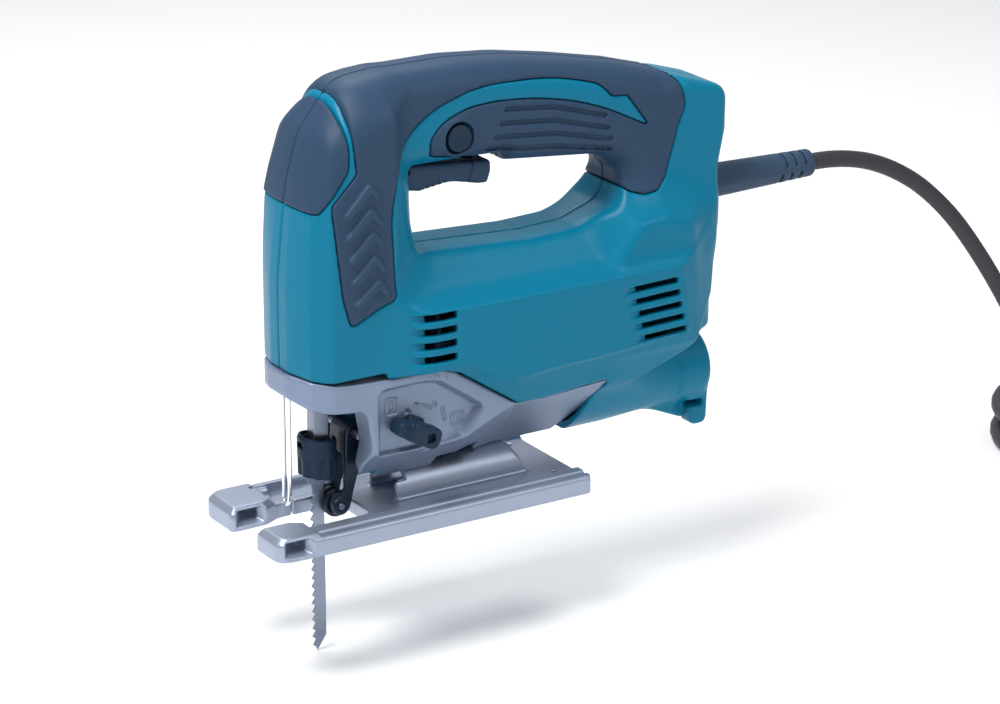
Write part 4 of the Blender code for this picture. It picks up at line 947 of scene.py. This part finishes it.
def build_wire_guard():
    down = [(GUIDE_X, -GUIDE_HALF, z) for z in (66, 48, 30)] + [(GUIDE_X - 0.1, -GUIDE_HALF, 18)]
    bend = []
    for k in range(13):
        angle = math.pi * k / 12
        drop = GUIDE_HALF * math.sin(angle)
        bend.append((GUIDE_X - 0.4 - 0.16 * drop, -GUIDE_HALF * math.cos(angle), 14.5 - drop))
    up = [(x, -y, z) for x, y, z in reversed(down)]
    wire = tube_through("guard_wire", [*down, *bend, *up], 1.05, CHROME)
    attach(wire, "body")
    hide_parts("wire_guard")


def build_cord_guard():
    g = Grid((147, -11.2, 111.8), (223, 11.2, 134.2), 0.4)
    wide = np.hypot(g.y, g.z - LEAD_Z)
    turn = np.arctan2(g.z - LEAD_Z, g.y)
    cone = 7.9 - 1.5 * np.clip((g.x - 166) / 56, 0, 1) + 0.0 * wide
    ridge = 0.5 * np.exp(-((np.cos(turn) ** 2 - 1) ** 2) / 0.004) * np.clip((220 - g.x) / 8, 0, 1)
    form = kept(wide - cone - ridge, np.abs(g.x - 186.85) - 35.15 + 0 * wide, 1.0)
    form = merged(form, bar(g.y, g.z, (0, LEAD_Z), 10.6, g.x, 148.4, 151.6, 0.5), 0.8)
    for k in range(3):
        for side in (-1, 1):
            x = 203 + 5.5 * k + (2.7 if side > 0 else 0)
            slit = np.maximum(np.abs(g.x - x) - 0.7, 1.2 - side * (g.z - LEAD_Z)) + 0 * g.y
            form = carved(form, np.maximum(slit, cone - 1.6 - wide), 0.5)
    form = carved(form, bar(g.y, g.z, (0, LEAD_Z), 4.2, g.x, 140, 230, 0.1), 0.3)
    field_piece("strain_relief", form, g, GUARD, "body", ["cord_guard"])


CORD_ROUTE = [
    (222.3, 0, 123), (234, 0, 122.6), (246, -0.5, 121), (258, -1, 117.8), (270, -2, 112.6),
    (282, -4, 105.2), (293, -6, 95.8), (303.5, -9, 84), (313, -12, 70.4), (322, -15.5, 55.4),
    (330.5, -19, 39.4), (339, -23, 22.6), (347.5, -27, 5.8), (356.5, -31.5, -10.4), (366.5, -36, -25.4),
    (378, -40.5, -38.4), (391, -45.5, -48.4), (405.5, -49.8, -54.8), (419, -52.3, -57.3),
    (433, -52.6, -57.5),
]
CORD_TAIL = [
    (489, -10.2, -49), (491.4, -3.6, -49.6), (493.8, 3, -50.9), (496.2, 9.6, -52.2), (498.1, 16.8, -53.1),
    (498.8, 24.2, -53.3),
]
COIL = [  # turns since the cord reached the coil, radius, height above the floor
    (0, 64.8, 4), (0.3, 56, 4), (0.87, 56, 4), (0.99, 48, 4), (1.87, 48, 4), (1.99, 40, 4), (2.74, 40, 4),
    (2.86, 44, 12.3), (2.99, 44, 12.3), (3.1, 44, 11.2), (3.56, 44, 11.2), (3.65, 47.4, 12.6),
    (3.74, 52, 11.5), (3.8, 52, 11.4), (3.9, 52, 12.3), (3.99, 52, 12.3), (4.1, 52, 11.4),
    (4.42, 52, 11.4), (4.56, 48, 20.4), (4.99, 48, 20.4), (5.1, 48, 19.6), (5.28, 48, 19.6),
    (5.42, 56, 19.6), (5.6, 56, 18.4), (5.8, 56, 18.4), (6.1821, 64.9, 12.5),
]


def coil_path():
    """The coil's centreline: between two entries of the table the radius and height change smoothly."""
    path = []
    last = COIL[-1][0]
    arrival = CORD_ROUTE[-1]
    start = math.atan2(arrival[1] - COIL_Y, arrival[0] - COIL_X)
    for k in range(1, int(last * COIL_SIDES)):
        turns = k / COIL_SIDES
        for (t0, r0, h0), (t1, r1, h1) in zip(COIL, COIL[1:]):
            if t0 <= turns <= t1:
                share = (turns - t0) / (t1 - t0)
                share = share * share * (3 - 2 * share)
                radius, height = r0 + (r1 - r0) * share, h0 + (h1 - h0) * share
                break
        angle = start + 2 * math.pi * turns
        place = (COIL_X + radius * math.cos(angle), COIL_Y + radius * math.sin(angle), FLOOR + height)
        path.append(place)
    return path


def build_cord():
    path = smooth_path(CORD_ROUTE, 3)[:-1] + [Vector(p) for p in [CORD_ROUTE[-1], *coil_path()]]
    path += smooth_path(CORD_TAIL, 3)
    cord = tube_through("lead", path, LEAD_RADIUS, CORD)
    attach(cord, "body")
    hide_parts("cord", "cord_coil", "cord_tail")
    g = Grid((479.9, 23.3, -62.3), (517.7, 69.5, -44.5), 0.45)
    sides = [(5.5, 0, 2), (8, 14, 8), (17.5, 22, 8), (17.5, 44, 5)]
    plan = [(PLUG_X + x, PLUG_Y + y, r) for x, y, r in sides]
    plan += [(PLUG_X - x, PLUG_Y + y, r) for x, y, r in reversed(sides)]
    form = rimmed(outline(plan, g.x, g.y), np.abs(g.z - PLUG_Z) - 7.9 + 0 * g.x, 4)
    for k in range(4):
        line = np.abs(g.y - 30.3 - 3 * k) - 0.6 + 0 * g.x + 0 * g.z
        form = carved(form, np.maximum(line, -form - 0.8), 0.5)
    panel = outline([(487.4, 51, 3), (510.2, 51, 3), (510.2, 64, 3), (487.4, 64, 3)], g.x, g.y) + 0 * g.z
    form = carved(form, np.maximum(panel, -46.1 - g.z), 0.5)
    plug = field_piece("mains_plug", form, g, CORD, "body", ["plug"])
    for name, x in (("left", PLUG_X - PIN_APART / 2), ("right", PLUG_X + PIN_APART / 2)):
        g = Grid((x - 3, 67.9, -56.3), (x + 3, 88.7, -50.3), 0.25)
        wide = np.hypot(g.x - x, g.z - PLUG_Z)
        tip = 2.4 - 1.1 * np.clip((g.y - 84.8) / 3, 0, 1) ** 2
        form = kept(wide - tip, np.abs(g.y - 78.3) - 9.5 + 0 * wide, 0.6)
        field_piece(f"pin_{name}", form, g, BRASS, "body", [f"plug_pin_{name}"])


def finish_nodes():
    """Gives each CAD node that stays in view its procedural finish, by the record's material slot."""
    for part in frame["record"]["subparts"]:
        mesh = NODES[part["node"]].data
        mesh.materials.clear()
        mesh.materials.append(BY_SLOT[part["material_slot"]])


finish_nodes()
build_near_and_far()
build_casting()
build_sole()
build_blade()
build_clamp()
build_roller()
build_controls()
build_wire_guard()
build_cord_guard()
build_cord()
